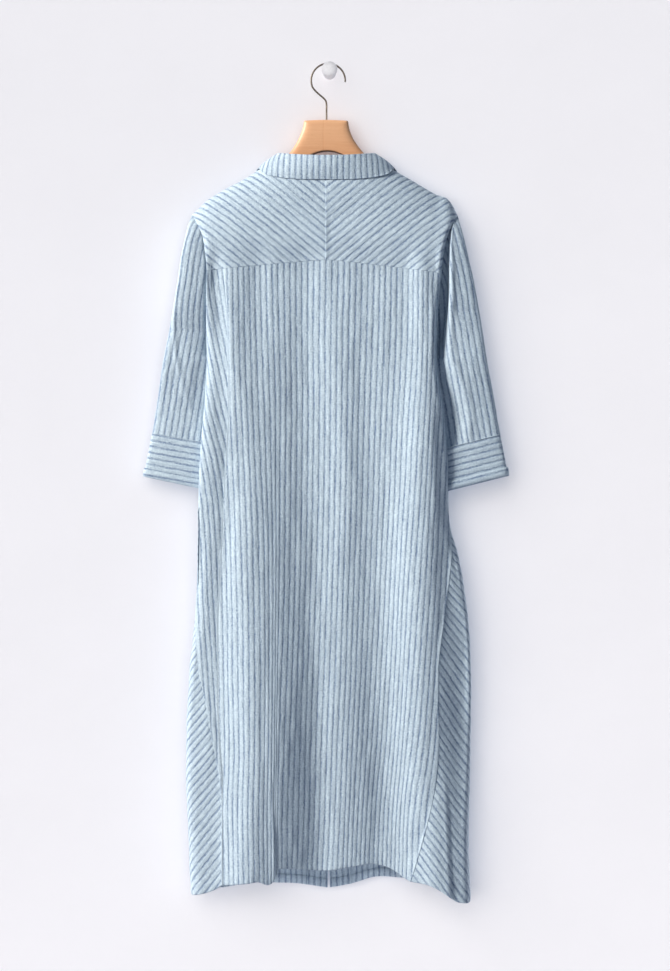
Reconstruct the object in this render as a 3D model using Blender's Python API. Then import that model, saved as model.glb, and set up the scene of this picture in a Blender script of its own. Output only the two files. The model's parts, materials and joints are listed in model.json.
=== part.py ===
"""Striped shirt dress hanging by its wooden hanger from a round wall knob.

The wall is the plane y = 0 and the dress hangs on its -Y side, with the back of the dress turned
away from the wall. The origin is the centre of the knob's flat back face. Sizes are in metres.
Heights are given as a drop below the origin and depths as a distance off the wall, so that a
point is (x, -off, -drop). The cloth is one body form, cut into panels along the real seams.
"""
import bpy
import bmesh
import numpy as np
from collections import namedtuple
from math import cos, pi, radians, sin
from mathutils import Vector

# ---------------------------------------------------------------- driving sizes
CLOTH = 0.0015          # thickness of one layer of cloth
SEAM = 0.0003           # gap between two pieces at a seam
CENTRE = -0.0046        # x of the dress's and the hanger's middle
HANG = 0.032            # distance of the hanger's plane off the wall
ARMPIT = 0.450          # drop of the underarm point
LOWEST_LEVEL = 1.090    # drop of the last level row, the hem's curve starts below it
LEVELS = 14             # level steps between the underarm and the lowest level row
INSERT_LEVEL = 5        # the level row at which the side inserts begin
HEM_ROWS = 4            # rows between the lowest level row and the hem
BACK_STEPS = 4          # steps from the back yoke seam to the underarm
FRONT_STEPS = 8         # steps from the front yoke seam to the underarm
YOKE_BACK_STEPS = 7     # steps from the shoulder ridge to the back yoke seam
YOKE_FRONT_STEPS = 3    # steps from the shoulder ridge to the front yoke seam
SLEEVE_STEPS = 5        # steps from the underarm to the cuff seam
CUFF_STEPS = 3
BACK_COLUMNS = 20       # points across a row of each piece
FRONT_COLUMNS = 9
BAND_COLUMNS = 2
INSERT_COLUMNS = 9
SLEEVE_COLUMNS = 15
COLLAR_COLUMNS = 4      # from the neck seam to the fold, and from the fold to the leaf's edge
COLLAR_STATIONS = 33    # places round the neck
SETTLE = 8              # passes for a row whose drop and x depend on each other
BACK_FALL = 0.090       # drop over which the back rounds off the shoulder ridge
FRONT_FALL = 0.050      # the same on the front
BACK_TURN = 0.045       # width over which the back rounds off its side edges
FRONT_TURN = 0.080      # the same on the front
FOLD_SPAN = (0.30, 1.25)  # drops between which a fold leans from its upper to its lower x
LAYER = 0.0026          # step from the left front to the right front that laps over it
LAP_FADE = 0.034        # width over which that step fades out beyond the button band
LAP_FULL = (0.030, 0.110)   # x up to which it is full, and x at which it ends

# ---------------------------------------------------------------- outline tables
Edge = namedtuple("Edge", "drop x")
LEFT_EDGE = [           # armhole seam down to the underarm, side fold below it
    Edge(0.2245, -0.2125), Edge(0.2400, -0.2040), Edge(0.2550, -0.1971), Edge(0.2820, -0.1918),
    Edge(0.3120, -0.1885), Edge(0.3720, -0.1895), Edge(0.4500, -0.1898), Edge(0.5040, -0.1915),
    Edge(0.5630, -0.1964), Edge(0.6230, -0.2003), Edge(0.7150, -0.2023), Edge(0.8470, -0.2082),
    Edge(0.9010, -0.2136), Edge(0.9755, -0.2198), Edge(1.1260, -0.2211), Edge(1.2080, -0.2178),
    Edge(1.2800, -0.2138)]
RIGHT_EDGE = [
    Edge(0.2265, 0.1985), Edge(0.2430, 0.1887), Edge(0.2610, 0.1812), Edge(0.2820, 0.1763),
    Edge(0.3130, 0.1722), Edge(0.4037, 0.1658), Edge(0.4585, 0.1672), Edge(0.5300, 0.1760),
    Edge(0.6010, 0.1822), Edge(0.7180, 0.1882), Edge(0.7490, 0.1972), Edge(0.7790, 0.2042),
    Edge(0.8180, 0.2101), Edge(0.8580, 0.2155), Edge(0.9170, 0.2191), Edge(1.0840, 0.2181),
    Edge(1.1940, 0.2155), Edge(1.2900, 0.2180)]

Ridge = namedtuple("Ridge", "x drop")
SHOULDER = [            # the shoulder ridge, with the neck bridged over in the middle
    Ridge(-0.2125, 0.2245), Ridge(-0.1936, 0.2056), Ridge(-0.1645, 0.1870),
    Ridge(-0.1333, 0.1703), Ridge(-0.1101, 0.1556), Ridge(-0.0926, 0.1445),
    Ridge(-0.0600, 0.1300), Ridge(0.0000, 0.1250), Ridge(0.0520, 0.1310),
    Ridge(0.0834, 0.1465), Ridge(0.1103, 0.1619), Ridge(0.1645, 0.1932),
    Ridge(0.1900, 0.2085), Ridge(0.1985, 0.2265)]

Depth = namedtuple("Depth", "drop back back_edge front_edge front")
DEPTHS = [              # distances off the wall of the cloth's middle and of its side edges
    Depth(0.2245, 0.0590, 0.0500, 0.0180, 0.0120), Depth(0.3120, 0.0640, 0.0530, 0.0200, 0.0120),
    Depth(0.3900, 0.0665, 0.0510, 0.0260, 0.0130), Depth(0.4500, 0.0675, 0.0440, 0.0440, 0.0130),
    Depth(0.5400, 0.0685, 0.0540, 0.0540, 0.0130), Depth(0.6600, 0.0700, 0.0560, 0.0560, 0.0135),
    Depth(0.8500, 0.0720, 0.0480, 0.0480, 0.0140), Depth(1.3000, 0.0750, 0.0440, 0.0440, 0.0150)]

Insert = namedtuple("Insert", "drop left right")
INSERTS = [             # how far inside the side folds the side inserts' seams lie
    Insert(0.6786, 0.00002, 0.00002), Insert(0.7243, 0.0006, 0.0030),
    Insert(0.7900, 0.0012, 0.0220), Insert(0.8500, 0.0022, 0.0380),
    Insert(0.9300, 0.0150, 0.0520), Insert(0.9800, 0.0294, 0.0520),
    Insert(1.0400, 0.0413, 0.0510), Insert(1.0900, 0.0518, 0.0530),
    Insert(1.1450, 0.0555, 0.0610), Insert(1.1950, 0.0530, 0.0725),
    Insert(1.2800, 0.0483, 0.1000)]

Hem = namedtuple("Hem", "x drop")
BACK_HEM = [
    Hem(-0.2140, 1.2640), Hem(-0.1648, 1.2613), Hem(-0.1116, 1.2548), Hem(-0.0840, 1.2500),
    Hem(-0.0760, 1.2360), Hem(-0.0384, 1.2383), Hem(-0.0084, 1.2408), Hem(0.0405, 1.2339),
    Hem(0.0602, 1.2309), Hem(0.0985, 1.2397), Hem(0.1191, 1.2534), Hem(0.1800, 1.2600)]
INSERT_HEM = [
    Hem(-0.2140, 1.2793), Hem(-0.1655, 1.2700), Hem(0.1221, 1.2558), Hem(0.1595, 1.2640),
    Hem(0.1829, 1.2777), Hem(0.1950, 1.2860), Hem(0.2180, 1.2895)]
FRONT_HEM = [
    Hem(-0.2140, 1.2760), Hem(-0.0816, 1.2639), Hem(-0.0336, 1.2685), Hem(0.0000, 1.2725),
    Hem(0.0313, 1.2672), Hem(0.0649, 1.2570), Hem(0.1008, 1.2560), Hem(0.2180, 1.2700)]

Fold = namedtuple("Fold", "x_top x_hem width starts full height")
BACK_FOLDS = [          # ridges have a height above zero, troughs one below it
    Fold(-0.1520, -0.1440, 0.024, 0.31, 0.95, 0.0080),
    Fold(-0.0300, -0.0400, 0.036, 0.36, 1.10, -0.0150),
    Fold(0.0050, 0.0160, 0.022, 0.32, 0.80, 0.0060),
    Fold(0.0480, 0.0620, 0.024, 0.34, 1.10, -0.0080),
    Fold(0.1150, 0.1080, 0.026, 0.32, 0.80, 0.0070)]
FRONT_FOLDS = [
    Fold(-0.1200, -0.1250, 0.026, 0.42, 1.00, -0.0035),
    Fold(-0.0700, -0.0650, 0.024, 0.42, 1.00, 0.0050),
    Fold(0.0650, 0.0700, 0.024, 0.42, 1.00, 0.0050),
    Fold(0.1250, 0.1200, 0.026, 0.42, 1.00, -0.0035)]

# ---------------------------------------------------------------- seams and openings
YOKE_SIDE = (0.3120, 0.3170)    # drop of the back yoke seam at the left and right armhole
YOKE_MIDDLE = 0.2960            # drop of the same seam at the centre
YOKE_REACH = (0.1839, 0.1768)   # its reach from the centre to the left and right armhole
YOKE_BEND = 1.2                 # power of the seam's curve
FRONT_YOKE = 0.030              # the yoke reaches this far down the front at the neck
FRONT_YOKE_SLOPE = 0.59         # fall of that seam from the neck to the armhole
NECK_HALF = 0.088               # half the width of the neck hole
NECK_BACK = 0.160               # drop of the neck seam at the centre back
NECK_FRONT = 0.232              # drop of the neck seam at the centre front
NECK_POWER = 2.6                # squareness of the front neckline
NECK_BACK_POWER = 2.5           # the same for the back neckline
PLACKET_HALF = 0.016            # half the width of the button band
OPENS_AT = 1.080                # drop where the fronts part below the last button
LEFT_SWING = 0.016              # the left band's shift at the hem
RIGHT_SWING = 0.023             # the right band's shift at the hem

Sleeve = namedtuple("Sleeve", "drop outer depth")
LEFT_SLEEVE = [         # drop and x of the outer fold, and half the sleeve's depth
    Sleeve(0.2262, -0.2136, 0.004), Sleeve(0.2389, -0.2180, 0.009),
    Sleeve(0.2674, -0.2248, 0.013), Sleeve(0.3312, -0.2349, 0.019),
    Sleeve(0.4027, -0.2468, 0.022), Sleeve(0.4780, -0.2607, 0.022),
    Sleeve(0.5656, -0.2753, 0.020), Sleeve(0.6311, -0.2879, 0.020)]
RIGHT_SLEEVE = [
    Sleeve(0.2282, 0.1996, 0.004), Sleeve(0.2518, 0.2055, 0.010),
    Sleeve(0.3155, 0.2210, 0.018), Sleeve(0.3828, 0.2334, 0.021),
    Sleeve(0.4503, 0.2434, 0.022), Sleeve(0.5138, 0.2552, 0.022),
    Sleeve(0.5678, 0.2645, 0.020), Sleeve(0.6300, 0.2765, 0.020)]
CuffLine = namedtuple("CuffLine", "outer inner")
LEFT_CUFF = (CuffLine(0.5656, 0.5805), CuffLine(0.6311, 0.6505))    # drops of seam and lower edge
RIGHT_CUFF = (CuffLine(0.5678, 0.5900), CuffLine(0.6300, 0.6545))
SLEEVE_MIDDLE = 0.033           # distance of the hanging sleeve's middle off the wall
SLEEVE_TUCK = 0.004             # the sleeve's inner fold lies this far behind the body's edge

Collar = namedtuple("Collar", "angle half drop")
LEAF_EDGE = [           # angle round the neck from the centre back, reach from the middle
    Collar(0, 0.0000, 0.1735), Collar(30, 0.0530, 0.1725), Collar(60, 0.0930, 0.1660),
    Collar(88, 0.1075, 0.1540), Collar(105, 0.1120, 0.1850), Collar(125, 0.1120, 0.2150),
    Collar(150, 0.0960, 0.2560), Collar(175, 0.0700, 0.2850)]
FOLD_HALF = 0.0735              # half the width of the collar's fold line
FOLD_BACK = 0.0265              # its reach behind the hanger's plane
FOLD_FRONT = 0.0205             # its reach towards the wall
FOLD_DROPS = (0.1374, 0.1315, 0.2060)   # drops at the back, the sides and the front
LEAF_LIFT = 0.0040              # the leaf's lower edge lies this far off the body
LEAF_START = 0.0024             # the leaf starts this far outside the fold line
LEAF_BULGE = 0.0035             # and bows this far out between the fold and its edge
LEAF_CROSSES = 88               # angle at which the leaf's edge crosses the shoulder ridge
COLLAR_END = 175                # angle at which the collar stops short of the centre front

BUTTONS = 9
BUTTON_FIRST = 0.262            # drop of the first button
BUTTON_STEP = 0.094
BUTTON_RADIUS = 0.0055
BUTTON_THICK = 0.0024

HANGER_THICK = 0.012
HANGER_ROUND = 0.0042           # rounding of the wood's edges
HANGER_CLEAR = 0.0030           # drop from the cloth's ridge to the arms' upper edge
ARM_DEPTH = 0.030               # drop from that ridge to the arms' lower edge
ARM_TAPER = 0.10                # the arms narrow by this share of the way to their tips
ARM_DIP = 0.0045                # the arms dip this far under the neck seam
DIP_SPAN = (0.085, 0.125)       # distance from the middle over which the dip fades out
ARM_START = (-0.0900, 0.0810)   # x where the arms leave the neck block
ARM_END = (-0.1870, 0.1780)     # x of the hanger's two tips
ARM_STEPS = 12
HOOK_WIRE = 0.0014              # radius
HOOK_RADIUS = 0.0265
HOOK_CENTRE = (-0.0020, 0.0159) # x and drop of the hook's circle
KNOB_STEM = 0.0087
KNOB_HEAD = 0.0128


# ---------------------------------------------------------------- curves through the tables
def curve(table, name, at, key="drop"):
    """Smooth curve through one column of a table, read at the places given."""
    known = np.array([getattr(row, key) for row in table], float)
    value = np.array([getattr(row, name) for row in table], float)
    step = np.diff(known)
    slope = np.diff(value) / step
    bend = np.empty(len(known))
    bend[0], bend[-1] = slope[0], slope[-1]
    bend[1:-1] = (slope[:-1] * step[1:] + slope[1:] * step[:-1]) / (step[1:] + step[:-1])
    turn = slope[:-1] * slope[1:] <= 0
    bend[1:-1][turn] = 0
    at = np.clip(np.asarray(at, float), known[0], known[-1])
    i = np.clip(np.searchsorted(known, at) - 1, 0, len(step) - 1)
    t = (at - known[i]) / step[i]
    return (value[i] * (1 + 2 * t) * (1 - t) ** 2 + value[i + 1] * t * t * (3 - 2 * t)
            + step[i] * t * (1 - t) * (bend[i] * (1 - t) - bend[i + 1] * t))


def ramp(value, start, end):
    t = np.clip((value - start) / (end - start), 0, 1)
    return t * t * (3 - 2 * t)


def quarter(t):
    """Rise of a quarter ellipse: steep at 0, level from 1 on."""
    return np.sqrt(np.clip(1 - (1 - np.clip(t, 0, 1)) ** 2, 0, 1))


def left_edge(drop):
    return curve(LEFT_EDGE, "x", drop)


def right_edge(drop):
    return curve(RIGHT_EDGE, "x", drop)


def ridge(x):
    return curve(SHOULDER, "drop", x, key="x")


def folds(table, x, drop):
    total = np.zeros(np.broadcast(x, drop).shape)
    for fold in table:
        way = ramp(drop, fold.starts, fold.full)
        middle = fold.x_top + (fold.x_hem - fold.x_top) * ramp(drop, *FOLD_SPAN)
        total = total + fold.height * way * np.exp(-((x - middle) / fold.width) ** 2)
    return total


def back_off(x, drop):
    """Distance off the wall of the back's cloth."""
    dome = quarter((drop - ridge(x)) / BACK_FALL)
    inside = np.minimum(x - left_edge(drop), right_edge(drop) - x)
    roll = quarter(inside / BACK_TURN)
    middle, edge = curve(DEPTHS, "back", drop), curve(DEPTHS, "back_edge", drop)
    level = edge + (middle - edge + folds(BACK_FOLDS, x, drop)) * roll
    return HANG + (level - HANG) * dome


def front_off(x, drop):
    """Distance off the wall of the front's cloth, the right front lapping over the left one."""
    dome = quarter((drop - ridge(x)) / FRONT_FALL)
    inside = np.minimum(x - left_edge(drop), right_edge(drop) - x)
    roll = quarter(inside / FRONT_TURN)
    middle = curve(DEPTHS, "front", drop)
    edge = np.where(np.asarray(drop) < ARMPIT, curve(DEPTHS, "front_edge", drop),
                    curve(DEPTHS, "back_edge", drop))
    level = edge + (middle - edge - folds(FRONT_FOLDS, x, drop)) * roll
    return HANG + (level - HANG) * dome


# ---------------------------------------------------------------- meshes
def material(name, colour, roughness, metallic=0.0):
    found = bpy.data.materials.new(name)
    found.use_nodes = True
    shader = found.node_tree.nodes["Principled BSDF"]
    shader.inputs["Base Color"].default_value = (*colour, 1)
    shader.inputs["Roughness"].default_value = roughness
    shader.inputs["Metallic"].default_value = metallic
    return found


def striped(name):
    return material(name, (0.52, 0.63, 0.73), 0.85)


def shell(name):
    return material(name, (0.75, 0.78, 0.80), 0.35)


def add_object(name, bm, finish):
    bmesh.ops.recalc_face_normals(bm, faces=bm.faces)
    mesh = bpy.data.meshes.new(name)
    bm.to_mesh(mesh)
    bm.free()
    mesh.shade_smooth()
    mesh.set_sharp_from_angle(angle=radians(40))
    mesh.materials.append(finish)
    made = bpy.data.objects.new(name, mesh)
    bpy.context.collection.objects.link(made)
    return made


def unit(vectors):
    return vectors / np.maximum(np.linalg.norm(vectors, axis=-1, keepdims=True), 1e-12)


def spaced(line, count):
    """Points at equal steps along a fine line, with the line's direction at each."""
    step = np.linalg.norm(np.diff(line, axis=0), axis=1)
    way = np.concatenate(([0], np.cumsum(step)))
    at = np.linspace(SEAM / 2, way[-1] - SEAM / 2, count)
    points = np.stack([np.interp(at, way, line[:, k]) for k in range(3)], axis=1)
    ahead = np.minimum(at + 0.0004, way[-1])
    behind = np.maximum(at - 0.0004, 0)
    along = [np.interp(ahead, way, line[:, k]) - np.interp(behind, way, line[:, k]) for k in range(3)]
    return points, unit(np.stack(along, axis=1))


def cloth_piece(name, finish, rows):
    """One layer of cloth through rows of points and directions, thickened to both sides."""
    points = np.stack([row[0] for row in rows])
    along = np.stack([row[1] for row in rows])
    count = points.shape[1]
    normal = unit(np.cross(along, np.gradient(points, axis=0)))
    bm = bmesh.new()
    sides = []
    for shift in (CLOTH / 2, -CLOTH / 2):
        moved = points + normal * shift
        sides.append([[bm.verts.new(tuple(point)) for point in row] for row in moved])
    high, wide = points.shape[0] - 1, count - 1
    for side in sides:
        for i in range(high):
            for j in range(wide):
                bm.faces.new((side[i][j], side[i][j + 1], side[i + 1][j + 1], side[i + 1][j]))
    upper, lower = sides
    for i in range(high):
        for j in (0, wide):
            bm.faces.new((upper[i][j], upper[i + 1][j], lower[i + 1][j], lower[i][j]))
    for j in range(wide):
        for i in (0, high):
            bm.faces.new((upper[i][j], upper[i][j + 1], lower[i][j + 1], lower[i][j]))
    return add_object(name, bm, finish)


def place(x, off, drop):
    x, off, drop = np.broadcast_arrays(x, off, drop)
    return np.stack([x, -off, -drop], axis=-1)


def fine(start, end, count=240):
    """Places between two ends, closer together near the ends."""
    t = (1 - np.cos(np.linspace(0, pi, count))) / 2
    return start + (end - start) * t


# ---------------------------------------------------------------- rows of the body
def level_drops():
    return np.linspace(ARMPIT, LOWEST_LEVEL, LEVELS + 1)


def row_drops(top, hem, upper_steps):
    """Drops of a panel's rows: upper part, level rows, then down to the hem's curve."""
    upper = [top + (ARMPIT - top) * k / upper_steps for k in range(upper_steps)]
    level = [np.full_like(top, drop) for drop in level_drops()]
    lower = [LOWEST_LEVEL + (hem - LOWEST_LEVEL) * k / HEM_ROWS for k in range(1, HEM_ROWS + 1)]
    return upper + level + lower


def back_yoke_drop(x):
    side = np.where(x < CENTRE, YOKE_SIDE[0], YOKE_SIDE[1])
    reach = np.where(x < CENTRE, YOKE_REACH[0], YOKE_REACH[1])
    return YOKE_MIDDLE + (side - YOKE_MIDDLE) * (abs(x - CENTRE) / reach) ** YOKE_BEND


def front_neck_drop(x):
    side = ridge(CENTRE + np.sign(x - CENTRE) * NECK_HALF)
    t = np.clip(abs(x - CENTRE) / NECK_HALF, 0, 1)
    return side + (NECK_FRONT - side) * (1 - t ** NECK_POWER) ** (1 / NECK_POWER)


def back_neck_drop(x):
    side = ridge(CENTRE + np.sign(x - CENTRE) * NECK_HALF)
    t = np.clip(abs(x - CENTRE) / NECK_HALF, 0, 1)
    return NECK_BACK + (side - NECK_BACK) * t ** NECK_BACK_POWER


def front_top_drop(x):
    side = ridge(CENTRE + np.sign(x - CENTRE) * NECK_HALF)
    straight = side + FRONT_YOKE + FRONT_YOKE_SLOPE * (abs(x - CENTRE) - NECK_HALF)
    return np.maximum(front_neck_drop(x), straight)


def insert_seam(drop, side):
    """x of a side seam: at the side fold, then along the insert."""
    name = "left" if side < 0 else "right"
    edge = left_edge(drop) if side < 0 else right_edge(drop)
    top = level_drops()[INSERT_LEVEL]
    return edge - side * np.where(drop < top - 1e-6, 0.0, curve(INSERTS, name, drop))


def panel_lines(x_start, x_end, surface, top, hem, upper_steps):
    """All rows of a panel between two side boundaries."""
    t = fine(0.0, 1.0)
    guess = x_start(np.full_like(t, ARMPIT)) * (1 - t) + x_end(np.full_like(t, ARMPIT)) * t
    count = len(row_drops(top(guess), hem(guess), upper_steps))
    lines = []
    for k in range(count):
        x = guess
        for _ in range(SETTLE):
            drop = row_drops(top(x), hem(x), upper_steps)[k]
            x = x_start(drop) * (1 - t) + x_end(drop) * t
        lines.append(place(x, surface(x, drop), drop))
    return lines


# ---------------------------------------------------------------- cloth panels
def build_back(finish):
    lines = panel_lines(lambda d: insert_seam(d, -1), lambda d: insert_seam(d, 1), back_off,
                        lambda x: back_yoke_drop(x) + SEAM / 2,
                        lambda x: curve(BACK_HEM, "drop", x, key="x"), BACK_STEPS)
    cloth_piece("back_panel", finish("back_panel"), [spaced(line, BACK_COLUMNS) for line in lines])


def placket_shift(drop, side):
    swing = -LEFT_SWING if side < 0 else RIGHT_SWING
    return swing * ramp(drop, OPENS_AT, 1.270)


def front_layer(side):
    """The front's surface on one layer: the right front lies nearer the wall."""
    def surface(x, drop):
        lap = ramp(x, CENTRE - PLACKET_HALF - LAP_FADE, CENTRE - PLACKET_HALF)
        lap = lap * ramp(-x, -LAP_FULL[1], -LAP_FULL[0])
        return front_off(x, drop) - (LAYER * lap if side > 0 else 0.0)
    return surface


def build_fronts(finish):
    hem = lambda x: curve(FRONT_HEM, "drop", x, key="x")
    for side, name in ((-1, "front_left"), (1, "front_right")):
        seam = lambda d, s=side: CENTRE + s * PLACKET_HALF + placket_shift(d, s)
        outer = lambda d, s=side: insert_seam(d, s)
        lines = panel_lines(outer, seam, front_layer(side),
                            lambda x: front_top_drop(x) + SEAM, hem, FRONT_STEPS)
        cloth_piece(name, finish(name), [spaced(line, FRONT_COLUMNS) for line in lines])
        free = lambda d, s=side: CENTRE - s * PLACKET_HALF + placket_shift(d, s)
        lines = panel_lines(seam, free, front_layer(side),
                            lambda x: front_top_drop(x) + SEAM, hem, FRONT_STEPS)
        band = name.replace("front", "placket")
        cloth_piece(band, finish(band), [spaced(line, BAND_COLUMNS) for line in lines])


def build_inserts(finish):
    """Side inserts from the back seam round the side fold to the front seam."""
    for side, name in ((-1, "gusset_left"), (1, "gusset_right")):
        edge = left_edge if side < 0 else right_edge
        hem = lambda x: curve(INSERT_HEM, "drop", x, key="x")
        lines = []
        levels = level_drops()[INSERT_LEVEL:]
        steps = [(drop, 0) for drop in levels] + [(LOWEST_LEVEL, k) for k in range(1, HEM_ROWS + 1)]
        for drop, k in steps:
            def halfway(surface, panel_hem, drop=drop, k=k):
                t = fine(0.0, 1.0)
                x = insert_seam(np.full_like(t, drop), side)
                for _ in range(SETTLE):
                    mixed = panel_hem(x) * (1 - t) ** 4 + hem(x) * (1 - (1 - t) ** 4)
                    at = drop + (mixed - drop) * k / HEM_ROWS if k else np.full_like(t, drop)
                    x = insert_seam(at, side) * (1 - t) + edge(at) * t
                return place(x, surface(x, at), at)
            behind = halfway(back_off, hem)
            ahead = halfway(front_off, hem)
            lines.append(np.concatenate([behind, ahead[::-1][1:]]))
        cloth_piece(name, finish(name), [spaced(line, INSERT_COLUMNS) for line in lines])


def armhole_front_drop(side):
    """Drop at which the front yoke seam meets the armhole."""
    edge = left_edge if side < 0 else right_edge
    drop = 0.25
    for _ in range(SETTLE):
        drop = float(front_top_drop(edge(drop)))
    return drop


def build_yokes(finish):
    """Two bias halves, from the back seam over the shoulder ridge to the front yoke seam."""
    for side, name in ((-1, "yoke_left"), (1, "yoke_right")):
        edge = left_edge if side < 0 else right_edge
        tip = SHOULDER[0] if side < 0 else SHOULDER[-1]
        seam_side = YOKE_SIDE[0] if side < 0 else YOKE_SIDE[1]
        neck = NECK_HALF / abs(tip.x - CENTRE)
        fractions = [0.0, neck * 0.3, neck * 0.6, neck * 0.85, neck, neck + 0.03,
                     neck + 0.15, 0.68, 0.80, 0.90, 1.0]
        columns = []
        for fraction in fractions:
            def across(drop, f=fraction):
                return CENTRE + side * SEAM / 2 * (1 - 2 * f) + f * (edge(drop) - CENTRE)
            top_x = CENTRE + fraction * (tip.x - CENTRE)
            top = float(ridge(top_x))
            low = seam_side
            ahead = top + FRONT_YOKE
            for _ in range(SETTLE):
                low = float(back_yoke_drop(across(low))) - SEAM / 2
                ahead = float(front_top_drop(across(ahead))) - SEAM / 2
            behind = np.sqrt((low - top) / BACK_FALL)
            if fraction <= neck:
                end = np.sqrt(max(float(back_neck_drop(top_x)) - top, 0) / BACK_FALL)
                s = np.linspace(behind, end, YOKE_BACK_STEPS + YOKE_FRONT_STEPS + 1)
            else:
                end = -np.sqrt((ahead - top) / FRONT_FALL)
                s = np.concatenate([np.linspace(behind, 0, YOKE_BACK_STEPS + 1),
                                    np.linspace(0, end, YOKE_FRONT_STEPS + 1)[1:]])
            pair = []
            for shift in (0.0, -0.01, 0.01):
                way = s + shift
                drop = top + np.where(way > 0, BACK_FALL, FRONT_FALL) * way * way
                x = across(drop)
                safe = np.maximum(drop, ridge(x))
                off = np.where(way > 0, back_off(x, safe), front_off(x, safe))
                pair.append(place(x, off, drop))
            columns.append((pair[0], unit(pair[1] - pair[2])))
        cloth_piece(name, finish(name), columns)


def sleeve_line(side, table, back_drop, front_drop, outer_drop, inner_drop):
    """One ring of a sleeve, from the back seam round the outer fold to the front seam."""
    edge = left_edge if side < 0 else right_edge
    x_out = float(curve(table, "outer", outer_drop))
    x_back, x_front = float(edge(back_drop)), float(edge(front_drop))
    off_back = float(back_off(x_back, back_drop))
    off_front = float(front_off(x_front, front_drop))
    below = float(ramp(inner_drop, ARMPIT, ARMPIT + 0.10))
    above = inner_drop <= ARMPIT + 1e-6
    half_gap = (off_back - off_front) / 2 if above else 0.0
    depth = max(float(curve(table, "depth", outer_drop)), half_gap)
    middle = (off_back + off_front) / 2
    if not above:
        middle = float(curve(DEPTHS, "back_edge", ARMPIT))
        middle = middle + (SLEEVE_MIDDLE - middle) * below
    reach = pi - np.arcsin(min(half_gap / depth, 1.0))
    psi = np.linspace(reach, -reach, 400)
    width = (np.cos(psi) - cos(reach)) / (1 - cos(reach))
    tuck = SLEEVE_TUCK * below
    clear = CLOTH / 2 + SEAM * 3 + (CLOTH / 2) * float(ramp(inner_drop, ARMPIT - 0.02, ARMPIT))
    share = (psi + reach) / (2 * reach)
    x_in = x_front + (x_back - x_front) * share + side * (clear - tuck)
    drop_in = front_drop + (back_drop - front_drop) * share if above else inner_drop
    x = x_in + (x_out - x_in) * width
    drop = drop_in + (outer_drop - drop_in) * width
    return place(x, middle + depth * np.sin(psi), drop)


def build_sleeves(finish):
    for side, table, cuff in ((-1, LEFT_SLEEVE, LEFT_CUFF), (1, RIGHT_SLEEVE, RIGHT_CUFF)):
        word = "left" if side < 0 else "right"
        tip = SHOULDER[0].drop if side < 0 else SHOULDER[-1].drop
        seam = YOKE_SIDE[0] if side < 0 else YOKE_SIDE[1]
        low = armhole_front_drop(side)
        back = [tip + (seam - tip) * (k / YOKE_BACK_STEPS) ** 2
                for k in range(1, YOKE_BACK_STEPS + 1)]
        back += [seam + (ARMPIT - seam) * k / BACK_STEPS for k in range(1, BACK_STEPS + 1)]
        front = [tip + (low - tip) * (k / YOKE_FRONT_STEPS) ** 2
                 for k in range(1, YOKE_FRONT_STEPS + 1)]
        front += [low + (ARMPIT - low) * k / FRONT_STEPS for k in range(1, FRONT_STEPS + 1)]
        rings = []
        for behind, ahead in zip(back, front):
            middle = (behind + ahead) / 2
            rings.append(sleeve_line(side, table, behind, ahead, middle, middle))
        for k in range(1, SLEEVE_STEPS + 1):
            outer = ARMPIT + (cuff[0].outer - SEAM / 2 - ARMPIT) * k / SLEEVE_STEPS
            inner = ARMPIT + (cuff[0].inner - SEAM / 2 - ARMPIT) * k / SLEEVE_STEPS
            rings.append(sleeve_line(side, table, inner, inner, outer, inner))
        name = "sleeve_" + word
        cloth_piece(name, finish(name), [spaced(ring, SLEEVE_COLUMNS) for ring in rings])
        rings = []
        for k in range(CUFF_STEPS + 1):
            outer = cuff[0].outer + SEAM / 2 + (cuff[1].outer - cuff[0].outer) * k / CUFF_STEPS
            inner = cuff[0].inner + SEAM / 2 + (cuff[1].inner - cuff[0].inner) * k / CUFF_STEPS
            rings.append(sleeve_line(side, table, inner, inner, outer, inner))
        name = "cuff_" + word
        cloth_piece(name, finish(name), [spaced(ring, SLEEVE_COLUMNS) for ring in rings])


def neck_point(angle):
    """The neck seam at an angle round the neck, 0 at the centre back."""
    swing = radians(abs(angle))
    side = np.sign(angle) if angle else 1
    if abs(angle) <= 90:
        x = CENTRE + side * NECK_HALF * sin(swing)
        drop = float(back_neck_drop(x))
        return np.array([x, -float(back_off(x, drop)), -drop])
    x = CENTRE + side * NECK_HALF * sin(swing) ** (2 / NECK_POWER)
    drop = float(front_neck_drop(x))
    return np.array([x, -float(front_layer(angle)(x, drop)), -drop])


def fold_point(angle):
    """The collar's fold line, where the leaf turns down over the stand."""
    swing = radians(abs(angle))
    side = np.sign(angle) if angle else 1
    at_back, at_side, at_front = FOLD_DROPS
    if abs(angle) <= 90:
        off = HANG + FOLD_BACK * cos(swing)
        drop = at_side + (at_back - at_side) * cos(swing) ** 2
        return np.array([CENTRE + side * FOLD_HALF * sin(swing), -off, -drop])
    share = -cos(swing)
    off = HANG - FOLD_FRONT * share
    drop = at_side + (at_front - at_side) * share ** 1.6
    return np.array([CENTRE + side * FOLD_HALF * sin(swing) ** (2 / NECK_POWER), -off, -drop])


def leaf_point(angle):
    """The leaf's lower edge, lying just off the body."""
    swing = abs(angle)
    side = np.sign(angle) if angle else 1
    x = CENTRE + side * float(curve(LEAF_EDGE, "half", swing, key="angle"))
    top = float(ridge(x))
    drop = max(float(curve(LEAF_EDGE, "drop", swing, key="angle")), top)
    surface, fall, toward = (back_off, BACK_FALL, -1) if swing <= LEAF_CROSSES else (
        front_off, FRONT_FALL, 1)
    lean = np.arccos(1 - min((drop - top) / fall, 1.0))
    rise = np.array([0.0, toward * sin(lean), cos(lean)])
    return np.array([x, -float(surface(x, drop)), -drop]) + rise * LEAF_LIFT


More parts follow.
